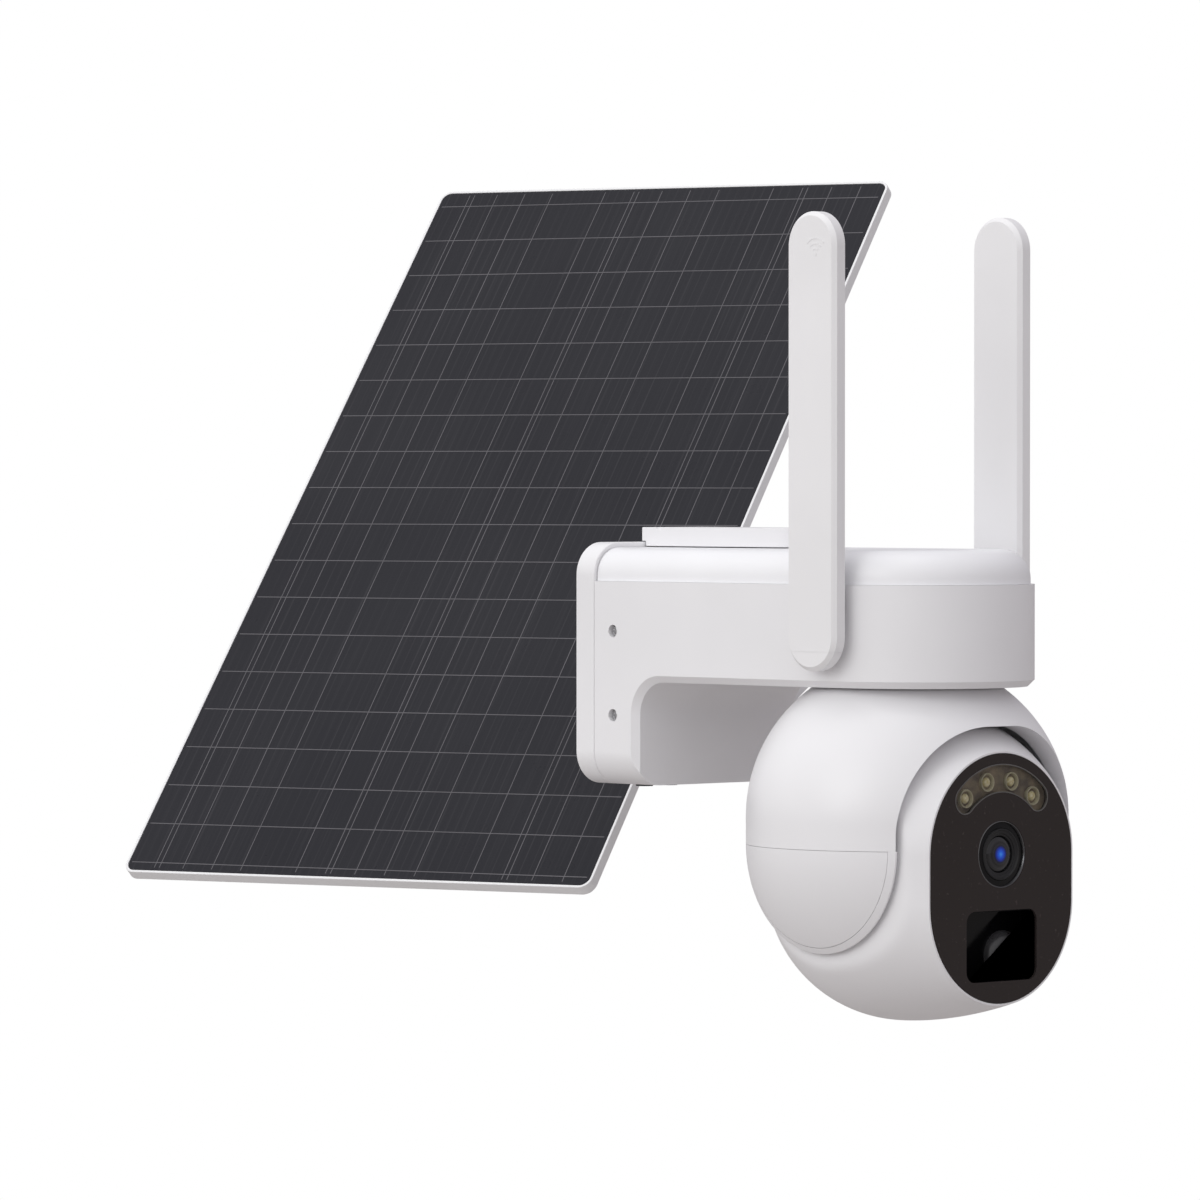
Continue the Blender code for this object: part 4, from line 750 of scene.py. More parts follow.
def arm_solid():
    arm = prism([arm_outline(0, BODY_BACK)], ARM_BOTTOM, ARM_TOP)

    def lower_edge(edge):
        return lies_at(edge, Z, ARM_BOTTOM) and not lies_at(edge, Y, BODY_BACK)

    def leg_edge(edge):
        side = lies_at(edge, X, -HALF_WIDTH) or lies_at(edge, X, HALF_WIDTH)
        ahead = all(end.co.y < BODY_BACK - CLOSE for end in edge.verts)
        return side and ahead and all(end.co.z < ARM_BOTTOM + CLOSE for end in edge.verts)

    leg = bevelled(prism([leg_outline()], -HALF_WIDTH, HALF_WIDTH, "yz"), CHAMFER, leg_edge)
    corners = rounded_rectangle(HALF_WIDTH, -LEG_BOTTOM, PLATE_CORNER, steps=16)
    leg = combined(leg, [prism([corners], 2 * LEG_FRONT, 0, "xz")], "INTERSECT")
    return combined(bevelled(arm, CHAMFER, lower_edge), [leg], "UNION")


def holes_under_leg():
    """The holes for the buttons and for the charging inlet."""
    through = (LEG_BOTTOM - WALL, LEG_BOTTOM + 2 * WALL)
    holes = []
    for name in ("power_button", "reset_button"):
        low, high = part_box(name)
        holes.append(rod(BUTTON_HOLE_R, "z", *through, (middle(low, high, X), middle(low, high, Y)), 40))
    low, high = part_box("charge_inlet")
    half = [half_size(low, high, axis) + INLET_GAP for axis in (X, Y)]
    slot = rounded_rectangle(*half, INLET_CORNER, (middle(low, high, X), middle(low, high, Y)))
    return holes + [prism([slot], *through)]


def make_arm():
    hollow = prism([arm_outline(WALL, 0)], ARM_BOTTOM + WALL, ARM_TOP + WALL)
    leg_low = (WALL - HALF_WIDTH, LEG_FRONT + WALL, LEG_BOTTOM + WALL)
    leg_hollow = box(leg_low, (HALF_WIDTH - WALL, 0, ARM_BOTTOM + 2 * WALL))
    inner = rounded_rectangle(HALF_WIDTH - WALL, -LEG_BOTTOM - WALL, PLATE_CORNER - WALL)
    leg_hollow = combined(leg_hollow, [prism([inner], LEG_FRONT, WALL, "xz")], "INTERSECT")
    across = (-2 * HALF_WIDTH, 2 * HALF_WIDTH)
    screws = [rod(SIDE_SCREW_HOLE_R, "x", *across, (SIDE_SCREW_Y, z), 32) for z in SIDE_SCREW_Z]
    pins = rod(ANTENNA_PIN_R + 0.4 * MM, "x", *across, ANTENNA_AT, 32)
    neck = rod(NECK_R, "z", ARM_BOTTOM - WALL, ARM_BOTTOM + 2 * WALL, (0, PAN.y), 64)
    shell = combined(arm_solid(), [hollow, leg_hollow, neck, pins, *screws, *holes_under_leg()])
    piece("arm_body", softened(shell, angle=25), WHITE, "housing", "white_plastic", "arm_shell", sharp=30)


def make_lid():
    solid = prism([arm_outline(LID_INSET, BODY_BACK)], ARM_TOP + LID_SEAM, LID_HIGH[Z])

    def top_edge(edge):
        return lies_at(edge, Z, LID_HIGH[Z]) and not lies_at(edge, Y, BODY_BACK)

    lid = bevelled(solid, LID_ROUND, top_edge, 10)
    inner = arm_outline(LID_HOLLOW_INSET, BODY_BACK - LID_SKIRT)
    hollow = prism([inner], LID_LOW[Z] - WALL, LID_LOW[Z] + 2 * MM)
    piece("lid", combined(lid, [hollow]), LID_WHITE, "housing", "white_plastic", "top_lid", sharp=30)


def make_top_block():
    """The raised block on the lid, with a wide round nose, standing clear of the wall plate's top."""
    half = (BLOCK_HIGH[X], half_size(BLOCK_LOW, BLOCK_HIGH, Y))
    centre = (0, middle(BLOCK_LOW, BLOCK_HIGH, Y))
    nose = rounded_rectangle(*half, BLOCK_NOSE_CORNER, centre, 16)
    tail = rounded_rectangle(*half, BLOCK_TAIL_CORNER, centre)
    outline = [point for point in tail if point[1] > centre[1]]
    outline += [point for point in nose if point[1] < centre[1]]
    block = prism([outline], BLOCK_LOW[Z], BLOCK_HIGH[Z])
    seat_front = PLATE_LOW[Y] + 14.6 * MM
    seat = box((-HALF_WIDTH, seat_front, 0), (HALF_WIDTH, WALL, PLATE_HIGH[Z] + 0.3 * MM))
    notch = box(
        (BLOCK_LOW[X] - MM, BLOCK_HIGH[Y] - 9.5 * MM, BLOCK_HIGH[Z] - 0.5 * MM),
        (BLOCK_LOW[X] + 1.2 * MM, BLOCK_HIGH[Y] - 7.5 * MM, BLOCK_HIGH[Z] + MM),
    )
    block = softened(combined(block, [seat, notch]), 0.5 * MM, 3)
    piece("slide_block", block, WHITE, "housing", "white_plastic", "top_block")


def screw_head(radius, height):
    """A pan head with a cross recess, its face along +z."""
    rounding = [(radius, height * 0.5), (radius * 0.86, height * 0.85), (radius * 0.5, height)]
    head = turned([(0, 0), (radius, 0), *rounding, (0, height)], "z", (0, 0, 0), 32)
    wing, half_slot, depth = radius * 0.62, radius * 0.13, height * 0.35
    slots = [(wing, half_slot), (half_slot, wing)]
    return combined(head, [box((-x, -y, depth), (x, y, 2 * height)) for x, y in slots])


def make_side_screws():
    for side, tag in ((-1, "near"), (1, "far")):
        for z, level in zip(SIDE_SCREW_Z, ("upper", "lower")):
            node = f"side_screw_{tag}_{level}"
            low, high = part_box(node)
            face = low[X] + 0.5 * MM if side < 0 else high[X]
            head = screw_head(1.6 * MM, SIDE_SCREW_RISE)
            head.transform(Matrix.Rotation(side * math.pi / 2, 4, "Y"))
            head.transform(Matrix.Translation((face - side * SIDE_SCREW_RISE, SIDE_SCREW_Y, z)))
            ends = sorted((face - side * 0.7 * MM, face - side * SIDE_SCREW_LENGTH))
            shank = rod(1.1 * MM, "x", *ends, (SIDE_SCREW_Y, z), 24)
            piece(f"screw_{tag}_{level}", merged(head, shank), STEEL, "housing", "steel", node)


# ---- ball head
def ball_profile(radius, top, steps=40):
    dome_z = PAN.z + DOME_RISE
    start = math.degrees(math.asin((top - dome_z) / radius))
    dome = arc((0, dome_z), radius, start, 0, steps)
    return [(0, top)] + dome + arc((0, PAN.z), radius, 0, -90, steps)[:-1] + [(0, PAN.z - radius)]


def opening_outline():
    side, bend = OPENING_HALF_WIDTH - OPENING_CORNER, OPENING_TOP - OPENING_CORNER
    curve = arc((side, bend), OPENING_CORNER, 0, 90, 40) + arc((-side, bend), OPENING_CORNER, 90, 180, 40)
    return [(OPENING_HALF_WIDTH, OPENING_LOW)] + curve + [(-OPENING_HALF_WIDTH, OPENING_LOW)]


def ear_disc(side, radius, inner=EAR_IN):
    return rod(radius, "x", *span(side, inner, BALL_R + WALL), (PAN.y, PAN.z), 128)


def ball(radius, top):
    return turned(ball_profile(radius, top), "z", (0, PAN.y, 0), 160)


def head_hollow():
    return ball(BALL_R - HEAD_WALL, HEAD_TOP - HEAD_WALL)


def above(level):
    """A block that takes in the whole head above a level."""
    reach = BALL_R + WALL
    return box((-reach, PAN.y - reach, level), (reach, PAN.y + reach, BALL_R))


def make_dome():
    reach = BALL_R + WALL
    front, rear = PAN.y - reach, PAN.y + reach
    opening = prism([opening_outline()], front, rear, "xz")
    between_ears = box((-EAR_IN, front, OPENING_LOW), (EAR_IN, rear, 0))
    profile = [(0, BROW_INSIDE_R)] + arc((0, 0), BROW_INSIDE_R, 87, -87, 58) + [(0, -BROW_INSIDE_R)]
    neck_low = (-BALL_R, PAN.y - CEILING_HALF_DEPTH, PAN.z)
    under_neck = box(neck_low, (BALL_R, PAN.y + CEILING_HALF_DEPTH, 0))
    between_brows = combined(turned(profile, "z", PAN, 160), [under_neck], "UNION")
    inner = combined(head_hollow(), [between_ears, between_brows], "INTERSECT")
    below = box((-reach, front, PAN.z - reach), (reach, rear, DOME_EDGE_Z))
    shell = combined(ball(BALL_R, ARM_BOTTOM - 0.3 * MM), [inner, opening, below])
    rims = []
    for side in (-1, 1):
        rim = combined(ball(BALL_R, HEAD_TOP), [ear_disc(side, EAR_R, EAR_IN + MM)], "INTERSECT")
        rims.append(combined(rim, [ear_disc(side, EAR_SEAM_R), above(DOME_EDGE_Z)]))
    shell = softened(combined(shell, rims, "UNION"), 0.25 * MM, 2, 40)
    piece("head_dome", shell, HEAD_WHITE, "pan_head", "white_plastic", "head_shell", sharp=40)


def make_ears():
    """The lower half of each ear, inside the seam."""
    for side, tag in ((-1, "near"), (1, "far")):
        ear = combined(ball(BALL_R, HEAD_TOP), [ear_disc(side, EAR_SEAM_R - EAR_SEAM_GAP)], "INTERSECT")
        pocket_end = ear_disc(side, EAR_POCKET_R, EAR_IN + HEAD_WALL)
        pocket = combined(head_hollow(), [pocket_end], "INTERSECT")
        ear = softened(combined(ear, [above(COVER_EDGE_Z), pocket]), 0.15 * MM, 2, 40)
        piece(f"ear_{tag}", ear, HEAD_WHITE, "pan_head", "white_plastic", f"ear_cover_{tag}", sharp=40)


# ---- tilting drum
def drum_station(ahead, inset):
    """The drum's half width, and the heights of its upper and lower arcs' middles, at one distance ahead."""
    chin = PAN.z - CHIN_DROP
    if ahead < 0:
        width = math.sqrt(DRUM_R**2 - ahead**2)
        return width, PAN.z, chin + CHIN_DROP * (-ahead / DRUM_R) ** CHIN_TUCK
    stretch = FACE_AHEAD / math.sqrt(1 - (FACE_R / DRUM_R) ** 2)
    width = DRUM_R * math.sqrt(1 - (ahead / stretch) ** 2)
    forward = ahead / FACE_AHEAD
    rise = (FACE_Z - FACE_STRAIGHT / 2 - FACE_R - chin + DRUM_R) * forward**CHIN_CURVE
    upper = PAN.z + (FACE_Z + FACE_STRAIGHT / 2 - PAN.z) * forward
    return width - inset, upper, chin - DRUM_R + rise + width


def flattened(x, limit):
    """A place across the drum, eased onto the flat of its side."""
    start = limit - DRUM_SIDE_BLEND
    if abs(x) <= start:
        return x
    over = (abs(x) - limit + DRUM_SIDE_BLEND) / DRUM_SIDE_BLEND
    return math.copysign(start + DRUM_SIDE_BLEND * math.tanh(over), x)


def drum_skin(inset=0.0, around=144):
    """The drum as one closed form, or a smaller one inside it."""
    rear_r = DRUM_R - inset
    quarter = 90 - DRUM_REAR_TIP
    turns = [math.radians(DRUM_REAR_TIP + quarter * i / DRUM_STATIONS) for i in range(DRUM_STATIONS)]
    rear = [-math.cos(turn) * rear_r for turn in turns]
    turns = [math.radians(90 * i / DRUM_STATIONS) for i in range(DRUM_STATIONS + 1)]
    front = [FACE_AHEAD * math.sin(turn) for turn in turns]
    shape = bmesh.new()
    loops = []
    for ahead in rear + front:
        width, upper, lower = drum_station(DRUM_R * ahead / rear_r if ahead < 0 else ahead, inset)
        if ahead < 0:
            width *= rear_r / DRUM_R
        loop = []
        for i in range(around):
            angle = 2 * math.pi * (i + 0.5) / around
            x = flattened(width * math.cos(angle), DRUM_HALF_WIDTH - inset)
            level = upper if math.sin(angle) > 0 else lower
            loop.append(shape.verts.new((x, PAN.y - ahead, level + width * math.sin(angle))))
        loops.append(loop)
    for first, second in zip(loops, loops[1:]):
        for i in range(around):
            j = (i + 1) % around
            shape.faces.new((first[i], first[j], second[j], second[i]))
    shape.faces.new(loops[0])
    shape.faces.new(loops[-1])
    return to_mesh(shape)


def make_drum():
    seat = prism([face_outline(FACE_R - FACE_LIP)], FACE_Y - WALL, FACE_Y + 6 * MM, "xz")
    behind_face = box((-BALL_R, FACE_Y + 5 * MM, -200 * MM), (BALL_R, 0, 100 * MM))
    hollow = combined(drum_skin(DRUM_WALL), [behind_face], "INTERSECT")
    skin = combined(drum_skin(), [seat, hollow])
    hubs = []
    for side in (-1, 1):
        ends = span(side, DRUM_HALF_WIDTH - MM, EAR_IN + HEAD_WALL)
        hubs.append(rod(DRUM_HUB_R, "x", *ends, (PAN.y, PAN.z), 40))
    skin = softened(combined(skin, hubs, "UNION"), 0.4 * MM, 3, 40)
    piece("drum_body", skin, HEAD_WHITE, "tilt_drum", "white_plastic", "drum_shell", sharp=40)


def make_face():
    pir = rounded_rectangle(*PIR_HALF, PIR_CORNER, PIR_AT, 10)
    holes = [circle(LENS_HOLE_R, LENS_AT, 96), lamp_band(), pir]
    window = prism([face_outline(FACE_R - FACE_LIP - 0.1 * MM), *holes], FACE_FRONT, FACE_BACK, "xz")
    window = softened(window, 0.12 * MM, 2, 40)
    piece("face_plate", window, FACE_BLACK, "tilt_drum", "black_window", "front_window")

    cover = prism([lamp_band(-0.1 * MM)], FACE_FRONT + 0.05 * MM, FACE_FRONT + 0.45 * MM, "xz")
    piece("lamp_window", cover, COVER, "tilt_drum", "clear_window", "led_window")
    edge = prism([lamp_band(), lamp_band(-0.28 * MM)], FACE_FRONT - 0.02 * MM, FACE_FRONT + 0.8 * MM, "xz")
    piece("lamp_window_edge", edge, EDGE_GREY, "tilt_drum", "dark_plastic")
    floor = prism([lamp_band(0.4 * MM)], LAMP_SEAT, LAMP_SEAT + 0.4 * MM, "xz")
    piece("lamp_floor", floor, REFLECTOR, "tilt_drum", "led_yellow")


def in_mm(points):
    return [(x * MM, y * MM) for x, y in points]


def crown(radius, height, base, step):
    """The rising part of a domed profile, turned about its own axis and bulging towards the front."""
    turns = [math.radians(a) for a in range(0, 90, step)]
    return [(radius * math.cos(a), base - height * math.sin(a)) for a in turns]


def make_lamps():
    """Each lamp's cup and the clear dome over its phosphor."""
    for index, angle in enumerate(LED_ANGLES, 1):
        turn = math.radians(90 - angle)
        place = (LED_RING_R * math.cos(turn), LAMP_SEAT, LENS_AT[1] + LED_RING_R * math.sin(turn))
        cup = turned(in_mm(CUP_PROFILE + CUP_PROFILE[:1]), "y", place, 48)
        piece(f"lamp_cup_{index}", cup, LAMP_CUP, "tilt_drum", "led_yellow")
        dome = in_mm([(0, 0), (1.4, 0), (1.4, -0.35)]) + crown(1.3 * MM, 0.8 * MM, -0.35 * MM, 10)
        dome = turned(dome + [(0, -1.15 * MM)], "y", place, 48)
        piece(f"lamp_{index}", dome, PHOSPHOR, "tilt_drum", "led_yellow", f"spot_led_{index}")


def make_lens():
    place = (LENS_AT[0], 0, LENS_AT[1])

    def ringed(points):
        return turned([(r * MM, FACE_Y + depth * MM) for r, depth in points + points[:1]], "y", place, 128)

    piece("lens_ring", ringed(BEZEL_PROFILE), DARK_STEEL, "tilt_drum", "bezel", "lens_bezel")
    piece("lens_shade", ringed(SHADE_PROFILE), DEEP_BLACK, "tilt_drum", "dark_plastic")
    piece("lens_tube", ringed(TUBE_PROFILE), BARREL_GREY, "tilt_drum", "dark_plastic", "lens_barrel")
    dome = [(0, FACE_Y + 3 * MM), (GLASS_R, FACE_Y + 3 * MM)]
    dome += crown(GLASS_R, GLASS_RISE, FACE_Y + 1.5 * MM, 6) + [(0, FACE_Y + 1.5 * MM - GLASS_RISE)]
    dome = turned(dome, "y", place, 96)
    piece("lens_front", dome, LENS_GLASS, "tilt_drum", "lens_glass", "lens_glass", sharp=60)


def make_detector():
    """The motion detector's recess, with its grey dome inside."""
    outer = rounded_rectangle(*PIR_HALF, PIR_CORNER, PIR_AT, 10)
    half = [size - PIR_WALL for size in PIR_HALF]
    inner = rounded_rectangle(*half, PIR_CORNER - PIR_WALL, PIR_AT, 10)
    tray = prism([outer], FACE_Y + 0.5 * MM, FACE_BACK + 5.5 * MM, "xz")
    tray = combined(tray, [prism([inner], FACE_Y - MM, PIR_FLOOR, "xz")])
    piece("detector_recess", softened(tray, 0.15 * MM), DEEP_BLACK, "tilt_drum", "pir_lens", "pir_lens")
    dome = [(0, 0.0)] + crown(PIR_DOME_R, PIR_DOME_RISE, 0.0, 5) + [(0, -PIR_DOME_RISE)]
    dome = turned(dome, "y", (PIR_DOME_AT[0], PIR_FLOOR, PIR_DOME_AT[1]), 72)
    dome = combined(dome, [prism([inner], FACE_Y, FACE_BACK + 5.2 * MM, "xz")], "INTERSECT")
    piece("detector_dome", dome, DETECTOR_GREY, "tilt_drum", "pir_lens", "pir_sensor", sharp=60)


# ---- antennas
def antenna_blade(radius, straight, centre, ends):
    """A paddle with rounded ends and chamfered edges, standing up beside the arm."""
    blade = prism([obround(radius, straight, centre, 40)], *ends, "yz")
    return bevelled(blade, ANTENNA_CHAMFER, lambda edge: abs(edge.verts[0].co.x - edge.verts[1].co.x) < CLOSE)


def signal_mark(at, face):
    """The raised sign of three arcs over a dot."""
    levels = (face - 0.09 * MM, face + 0.1 * MM)
    strokes = []
    for radius, half in SIGN_ARCS:
        outline = arc(at, (radius + 0.22) * MM, 90 - half, 90 + half, 14)
        outline += arc(at, (radius - 0.22) * MM, 90 + half, 90 - half, 14)
        strokes.append(prism([outline], *levels, "yz"))
    strokes.append(prism([circle(0.5 * MM, at, 20)], *levels, "yz"))
    return merged(*strokes)


def make_antenna(side, tag):
    body = f"antenna_{tag}"
    low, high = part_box(body)
    inner = abs(JOINTS[f"{body}_swing"]["pos_m"][X])
    outer = max(abs(low[X]), abs(high[X]))
    ends = span(side, inner, outer)
    radius = half_size(low, high, Y)
    straight = high[Z] - low[Z] - 2 * radius
    centre = (ANTENNA_AT[0], middle(low, high, Z))
    seam_z = low[Z] + 5.5 * MM
    slab = box((ends[0] - MM, low[Y] - MM, seam_z), (ends[1] + MM, high[Y] + MM, seam_z + 0.16 * MM))
    seam_depth = 0.14 * MM
    core = antenna_blade(radius - seam_depth, straight, centre, (ends[0] + seam_depth, ends[1] - seam_depth))
    seam = combined(slab, [core])
    blade = softened(combined(antenna_blade(radius, straight, centre, ends), [seam]), 0.3 * MM, 2, 28)
    pin = rod(ANTENNA_PIN_R, "x", *span(side, ANTENNA_PIN_END, inner + MM), ANTENNA_AT, 40)
    piece(f"{body}_blade", merged(blade, pin), ANTENNA_WHITE, body, "white_plastic", body, sharp=25)
    if side < 0:
        sign_at = (centre[0] - 2.2 * MM, high[Z] - 12.5 * MM)
        piece(f"{body}_mark", signal_mark(sign_at, ends[0]), ANTENNA_WHITE, body, "white_plastic")
    hub = rod(ANTENNA_COLLAR_R, "x", *span(side, HALF_WIDTH + 0.2 * MM, inner - 0.2 * MM), ANTENNA_AT, 64)
    hole = rod(ANTENNA_PIN_R + 0.3 * MM, "x", *span(side, ANTENNA_PIN_END, 40 * MM), ANTENNA_AT, 40)
    hub = softened(combined(hub, [hole]), 0.2 * MM)
    piece(f"antenna_{tag}_collar", hub, WHITE, "housing", "white_plastic", f"antenna_hub_{tag}")


# ---- solar panel
def make_laminate():
    half = [size - 0.15 * MM for size in PANEL_HALF]
    top = PANEL_FACE - 0.1 * MM
    sheet = prism([rounded_rectangle(*half, TRAY_CORNER - TRAY_LIP)], top - SHEET_THICK, top)
    unwrapped = sheet.uv_layers.new(name="cells")
    for loop in sheet.loops:
        x, y, _ = sheet.vertices[loop.vertex_index].co
        unwrapped.data[loop.index].uv = (x, y)
    piece("solar_sheet", on_panel(sheet), CELLS, "solar_panel", "solar_cells", "solar_laminate")


def make_silver_lines():
    """The rows across the panel, and the columns up it in groups that repeat."""
    top = PANEL_FACE - 0.1 * MM
    half_x, half_y = PANEL_HALF[0] - LINE_MARGIN, PANEL_HALF[1] - LINE_MARGIN
    first = PANEL_HALF[1] - ROW_FIRST
    row = box(
        (-half_x, first - LINE_WIDTH / 2, top - 0.02 * MM),
        (half_x, first + LINE_WIDTH / 2, top + 0.03 * MM),
    )
    lines = [repeated(row, ALONG_LINE, ROWS, (0, -ROW_PITCH, 0), SILVER_LINE)]
    for offset in COLUMN_OFFSETS:
        start = offset * MM - PANEL_HALF[0]
        count = 1 + int((PANEL_HALF[0] * 2 - MM - offset * MM) // COLUMN_PERIOD)
        column = box(
            (start - LINE_WIDTH * 0.42, -half_y, top - 0.02 * MM),
            (start + LINE_WIDTH * 0.42, half_y, top + 0.02 * MM),
        )
        lines.append(repeated(column, ALONG_LINE, count, (COLUMN_PERIOD, 0, 0), SILVER_LINE))
    piece("silver_lines", on_panel(merged(*lines)), SILVER_LINE, "solar_panel", "solar_cells")


def make_tray():
    half = [size + TRAY_LIP for size in PANEL_HALF]
    back = PANEL_FACE - TRAY_DEPTH
    tray = prism([rounded_rectangle(*half, TRAY_CORNER, steps=14)], back, PANEL_FACE)
    tray = bevelled(tray, TRAY_BACK_EDGE, lambda edge: lies_at(edge, Z, back))
    floor = PANEL_FACE - 2.9 * MM
    pocket = prism([rounded_rectangle(*PANEL_HALF, TRAY_CORNER - TRAY_LIP)], floor, PANEL_FACE + WALL)
    tray = softened(combined(tray, [pocket]), 0.2 * MM)
    piece("panel_frame", on_panel(tray), TRAY_WHITE, "solar_panel", "white_plastic", "panel_tray")


def back_screws(radius, height, half_x, rows, level):
    """Four screw heads at the corners of a rectangle, facing away from the panel."""
    heads = []
    for y in rows:
        for x in (-half_x, half_x):
            head = screw_head(radius, height)
            head.transform(Matrix.Translation((x, y, level)) @ Matrix.Rotation(math.pi, 4, "X"))
            heads.append(head)
    return on_panel(merged(*heads))


def make_saddle():
    """The split clamp that holds the panel on its tube, with its flange and four screws."""
    half_x, side, lip_z = 17 * MM, 11 * MM, 2 * MM
    outline = [(-side, MOUNT_BACK), (side, MOUNT_BACK), (side, lip_z)]
    outline += arc((0, 0), 9 * MM, 0, -180, 24) + [(-side, lip_z)]
    block = prism([outline], -half_x, half_x, "yz")
    bore = rod(TUBE_R + 0.3 * MM, "x", -40 * MM, 40 * MM, (0, 0), 56)
    slit = box((-20 * MM, -0.7 * MM, -12 * MM), (20 * MM, 0.7 * MM, 0))
    screw = rod(KNOB_STEM_R + 0.3 * MM, "y", -14 * MM, -2 * MM, (0, 0), 32)
    flange_back = MOUNT_BACK - 2.4 * MM
    flange = prism([rounded_rectangle(21 * MM, 15 * MM, 3 * MM)], flange_back, MOUNT_BACK)
    clamp = combined(combined(block, [flange], "UNION"), [bore, slit, screw])
    clamp = on_panel(softened(clamp, 0.5 * MM))
    piece("tube_clamp", clamp, WHITE, "solar_panel", "white_plastic", "panel_saddle")
    screws = back_screws(2.1 * MM, 1.3 * MM, 18.2 * MM, (-12.2 * MM, 12.2 * MM), flange_back)
    piece("clamp_screws", screws, STEEL, "solar_panel", "steel")


def make_clamp_knob():
    out = -11.3 * MM
    core = rod(6 * MM, "y", out - 7 * MM, out, (0, 0), 64, 0.6 * MM)
    flute = rod(1.35 * MM, "z", -6.7 * MM, -0.3 * MM, (5.65 * MM, 0), 20, 0.4 * MM)
    flutes = repeated(flute, ROUND_AXIS, KNOB_FLUTES, (0, 0, 2 * math.pi / KNOB_FLUTES), BLACK_PLASTIC)
    flutes.transform(Matrix.Translation((0, out, 0)) @ Matrix.Rotation(-math.pi / 2, 4, "X"))
    stem = rod(KNOB_STEM_R, "y", out - MM, -TUBE_R - 0.7 * MM, (0, 0), 32)
    knob = on_panel(merged(core, flutes, stem))
    piece("clamp_handwheel", knob, BLACK_PLASTIC, "solar_panel", "dark_plastic", "clamp_knob")


def make_junction_box():
    def outline(grow):
        return rounded_rectangle(BOX_HALF[0] + grow, BOX_HALF[1] + grow, 3 * MM, (0, BOX_Y))

    back = MOUNT_BACK - BOX_DEPTH
    case = prism([outline(0)], back, MOUNT_BACK)
    case = bevelled(case, 1.2 * MM, lambda edge: lies_at(edge, Z, back), 3)
    ring = [outline(0.3 * MM), outline(-0.2 * MM)]
    case = combined(case, [prism(ring, MOUNT_BACK - 3.4 * MM, MOUNT_BACK - 3.2 * MM)])
    piece("terminal_box", on_panel(case), BLACK_PLASTIC, "solar_panel", "dark_plastic", "junction_box")
    screws = back_screws(1.7 * MM, MM, 16 * MM, (BOX_Y - 9 * MM, BOX_Y + 9 * MM), back + 0.3 * MM)
    piece("terminal_box_screws", screws, STEEL, "solar_panel", "steel")


def make_cable_gland():
    """The hexagon, the ribbed sleeve and its ribs, on the terminal box's lower end."""
    x, y, z = 0, BOX_Y - 13.3 * MM, MOUNT_BACK - 4.8 * MM
    hexagon = rod(3.6 * MM, "y", y - 3 * MM, y, (x, z), 6)
    sleeve = turned(in_mm(SLEEVE_PROFILE + SLEEVE_PROFILE[:1]), "y", (x, y, z), 40)
    rib = turned(in_mm(RIB_PROFILE + RIB_PROFILE[:1]), "y", (x, y - 4.9 * MM, z), 40)
    ribs = repeated(rib, ALONG_LINE, 3, (0, 0.75 * MM, 0), RUBBER)
    gland = on_panel(merged(hexagon, sleeve, ribs))
    piece("cord_gland", gland, RUBBER, "solar_panel", "grey_rubber", "cable_gland")


# ---- nodes kept from the frame
CARRIED = (
    (WHITE, ("panel_bracket", "swivel_arm")),
    (STEEL, ("swivel_bolt", "charge_inlet", "cellular_module", "pan_motor", "pan_bearing")),
    (STEEL, ("retaining_ring", "tilt_motor")),
    (RUBBER, ("lid_seal", "power_button", "reset_button")),
    (BLACK_PLASTIC, ("battery_tray", "speaker")),
    (WRAP, ("battery_cell_1", "battery_cell_2", "battery_cell_3")),
    (BOARD, ("main_board", "charge_board", "sensor_board", "led_board")),
    (NYLON, ("pan_pinion", "pan_gear")),
)


def finish_carried_nodes():
    for finish, names in CARRIED:
        for name in names:
            materials = frame["nodes"][name].data.materials
            for index in range(len(materials)):
                materials[index] = finish


# ---- floor, light and camera
FLOOR_Z = -420 * MM
WORLD_TOWARDS = (-0.9, 0.12, 0.5)
WORLD_STOPS = (
    (0.0, (0.3, 0.285, 0.28)),
    (0.35, (0.5, 0.475, 0.52)),
    (0.62, (0.8, 0.79, 0.82)),
    (1.0, (1.12, 1.12, 1.12)),
)
SOFTBOXES = (  # name, place, aim, size and power
    ("softbox_side", (-1.9, -0.05, 0.7), (0, -0.08, 0), 1.1, 6.4),
    ("softbox_top", (-0.3, 0.1, 1.8), (0, -0.1, 0), 1.4, 4.4),
)


def make_floor():
    """Warm paper that lights the object from below, and that the camera sees as plain white."""
    shape = bmesh.new()
    bmesh.ops.create_grid(shape, x_segments=1, y_segments=1, size=40)
    bmesh.ops.translate(shape, vec=(0, 0, FLOOR_Z), verts=shape.verts)
    floor = linked("floor", to_mesh(shape, outwards=False))
    paper = Finish("floor_paper", (0.95, 0.95, 0.95), 0.9, specular=0.0)
    shades = ((0.3, (0.45, 0.43, 0.415)), (0.7, (0.48, 0.455, 0.44)))
    paper.drive("Base Color", paper.ramp(paper.noise(3.0), shades))
    glow = paper.node("ShaderNodeEmission", {"Color": (1, 1, 1, 1), "Strength": 1.0})
    seen = paper.node("ShaderNodeLightPath").outputs["Is Camera Ray"]
    either = paper.node("ShaderNodeMixShader", {0: seen, 1: paper.shader.outputs[0], 2: glow.outputs[0]})
    paper.links.new(either.outputs[0], paper.nodes["Material Output"].inputs["Surface"])
    floor.data.materials.append(paper.material)


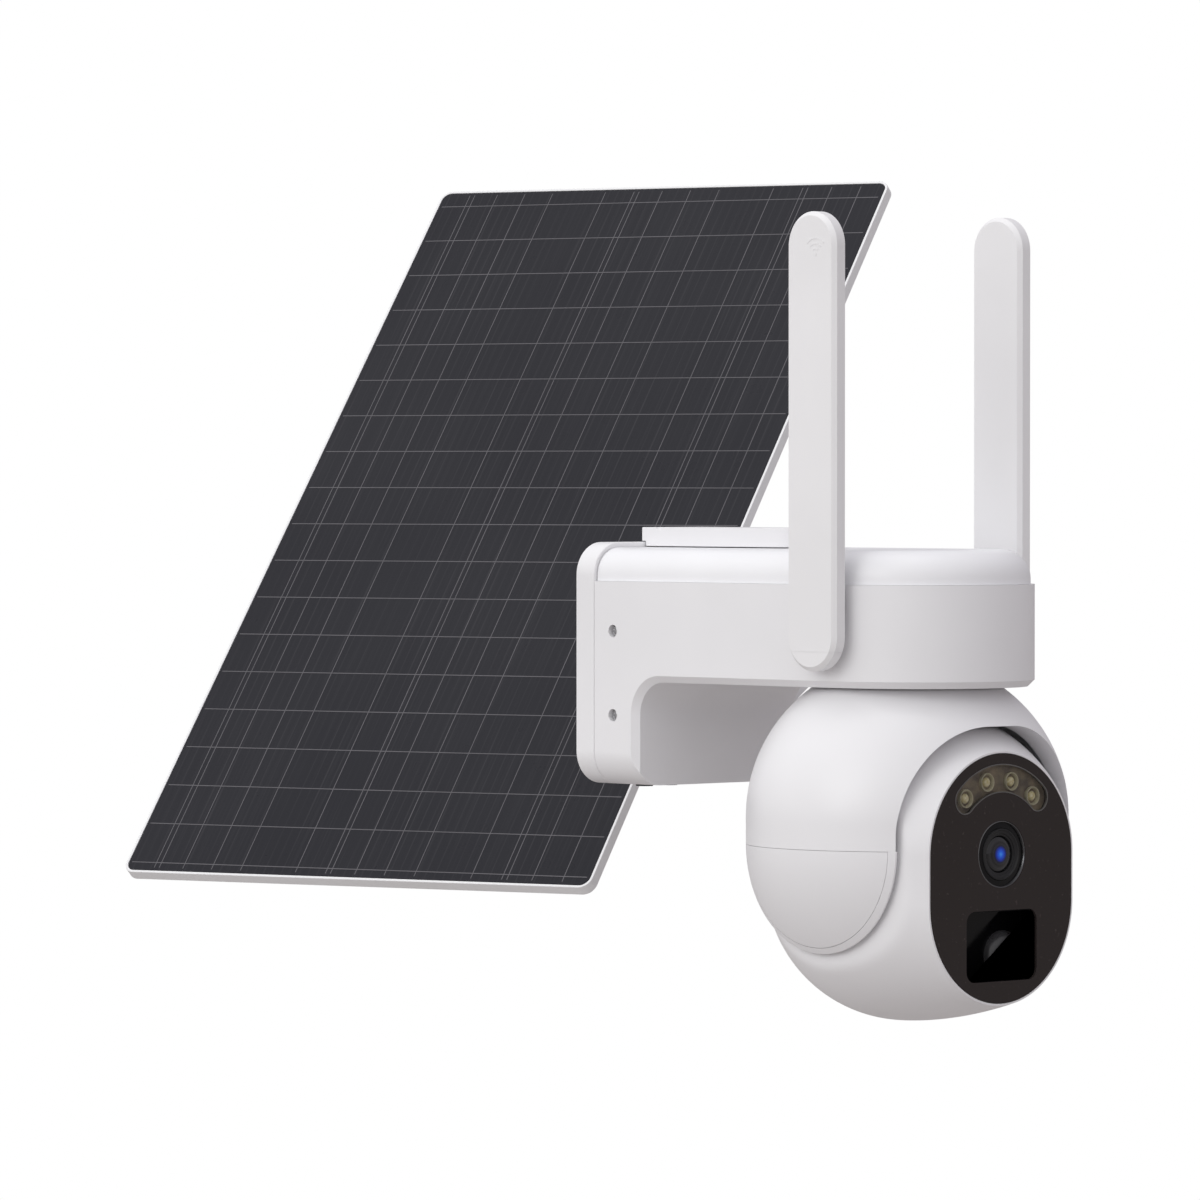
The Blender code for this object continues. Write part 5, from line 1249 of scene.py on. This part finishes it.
def make_world():
    """A white studio, brightest above on the near side. The camera sees it as plain white."""
    world = bpy.data.worlds.new("studio")
    bpy.context.scene.world = world
    world.use_nodes = True
    nodes, links = world.node_tree.nodes, world.node_tree.links
    dot = nodes.new("ShaderNodeVectorMath")
    dot.operation = "DOT_PRODUCT"
    links.new(nodes.new("ShaderNodeTexCoord").outputs["Generated"], dot.inputs[0])
    dot.inputs[1].default_value = Vector(WORLD_TOWARDS).normalized()
    share = nodes.new("ShaderNodeMath")
    share.operation = "MULTIPLY_ADD"
    share.inputs[1].default_value = share.inputs[2].default_value = 0.5
    links.new(dot.outputs["Value"], share.inputs[0])
    ramp = nodes.new("ShaderNodeValToRGB")
    fill_ramp(ramp.color_ramp.elements, WORLD_STOPS)
    links.new(share.outputs[0], ramp.inputs["Fac"])
    mix = nodes.new("ShaderNodeMix")
    mix.data_type = "RGBA"
    colours = [socket for socket in mix.inputs if socket.type == "RGBA"]
    links.new(nodes.new("ShaderNodeLightPath").outputs["Is Camera Ray"], mix.inputs[0])
    links.new(ramp.outputs["Color"], colours[0])
    colours[1].default_value = (1, 1, 1, 1)
    mixed = next(socket for socket in mix.outputs if socket.type == "RGBA")
    links.new(mixed, nodes["Background"].inputs["Color"])


def make_softboxes():
    for name, place, aim, size, power in SOFTBOXES:
        lamp = bpy.data.lights.new(name, "AREA")
        lamp.shape = "DISK"
        lamp.size = size
        lamp.energy = power
        softbox = linked(name, lamp)
        softbox.location = place
        softbox.rotation_euler = (Vector(aim) - Vector(place)).to_track_quat("-Z", "Y").to_euler()


def make_camera():
    data = bpy.data.cameras.new("camera")
    data.lens = 214.34
    data.sensor_width = 36
    data.clip_end = 100
    camera = linked("camera", data)
    camera.location = (-1.49587, -1.58530, 0.05735)
    camera.rotation_euler = (math.radians(88.981), 0, math.radians(-42.866))
    bpy.context.scene.camera = camera


make_wall_plate()
make_arm()
make_lid()
make_top_block()
make_side_screws()
make_dome()
make_ears()
make_drum()
make_face()
make_lamps()
make_lens()
make_detector()
make_antenna(-1, "near")
make_antenna(1, "far")
make_laminate()
make_silver_lines()
make_tray()
make_saddle()
make_clamp_knob()
make_junction_box()
make_cable_gland()
finish_carried_nodes()
make_floor()
make_world()
make_softboxes()
make_camera()
bpy.context.scene.view_settings.view_transform = "Standard"
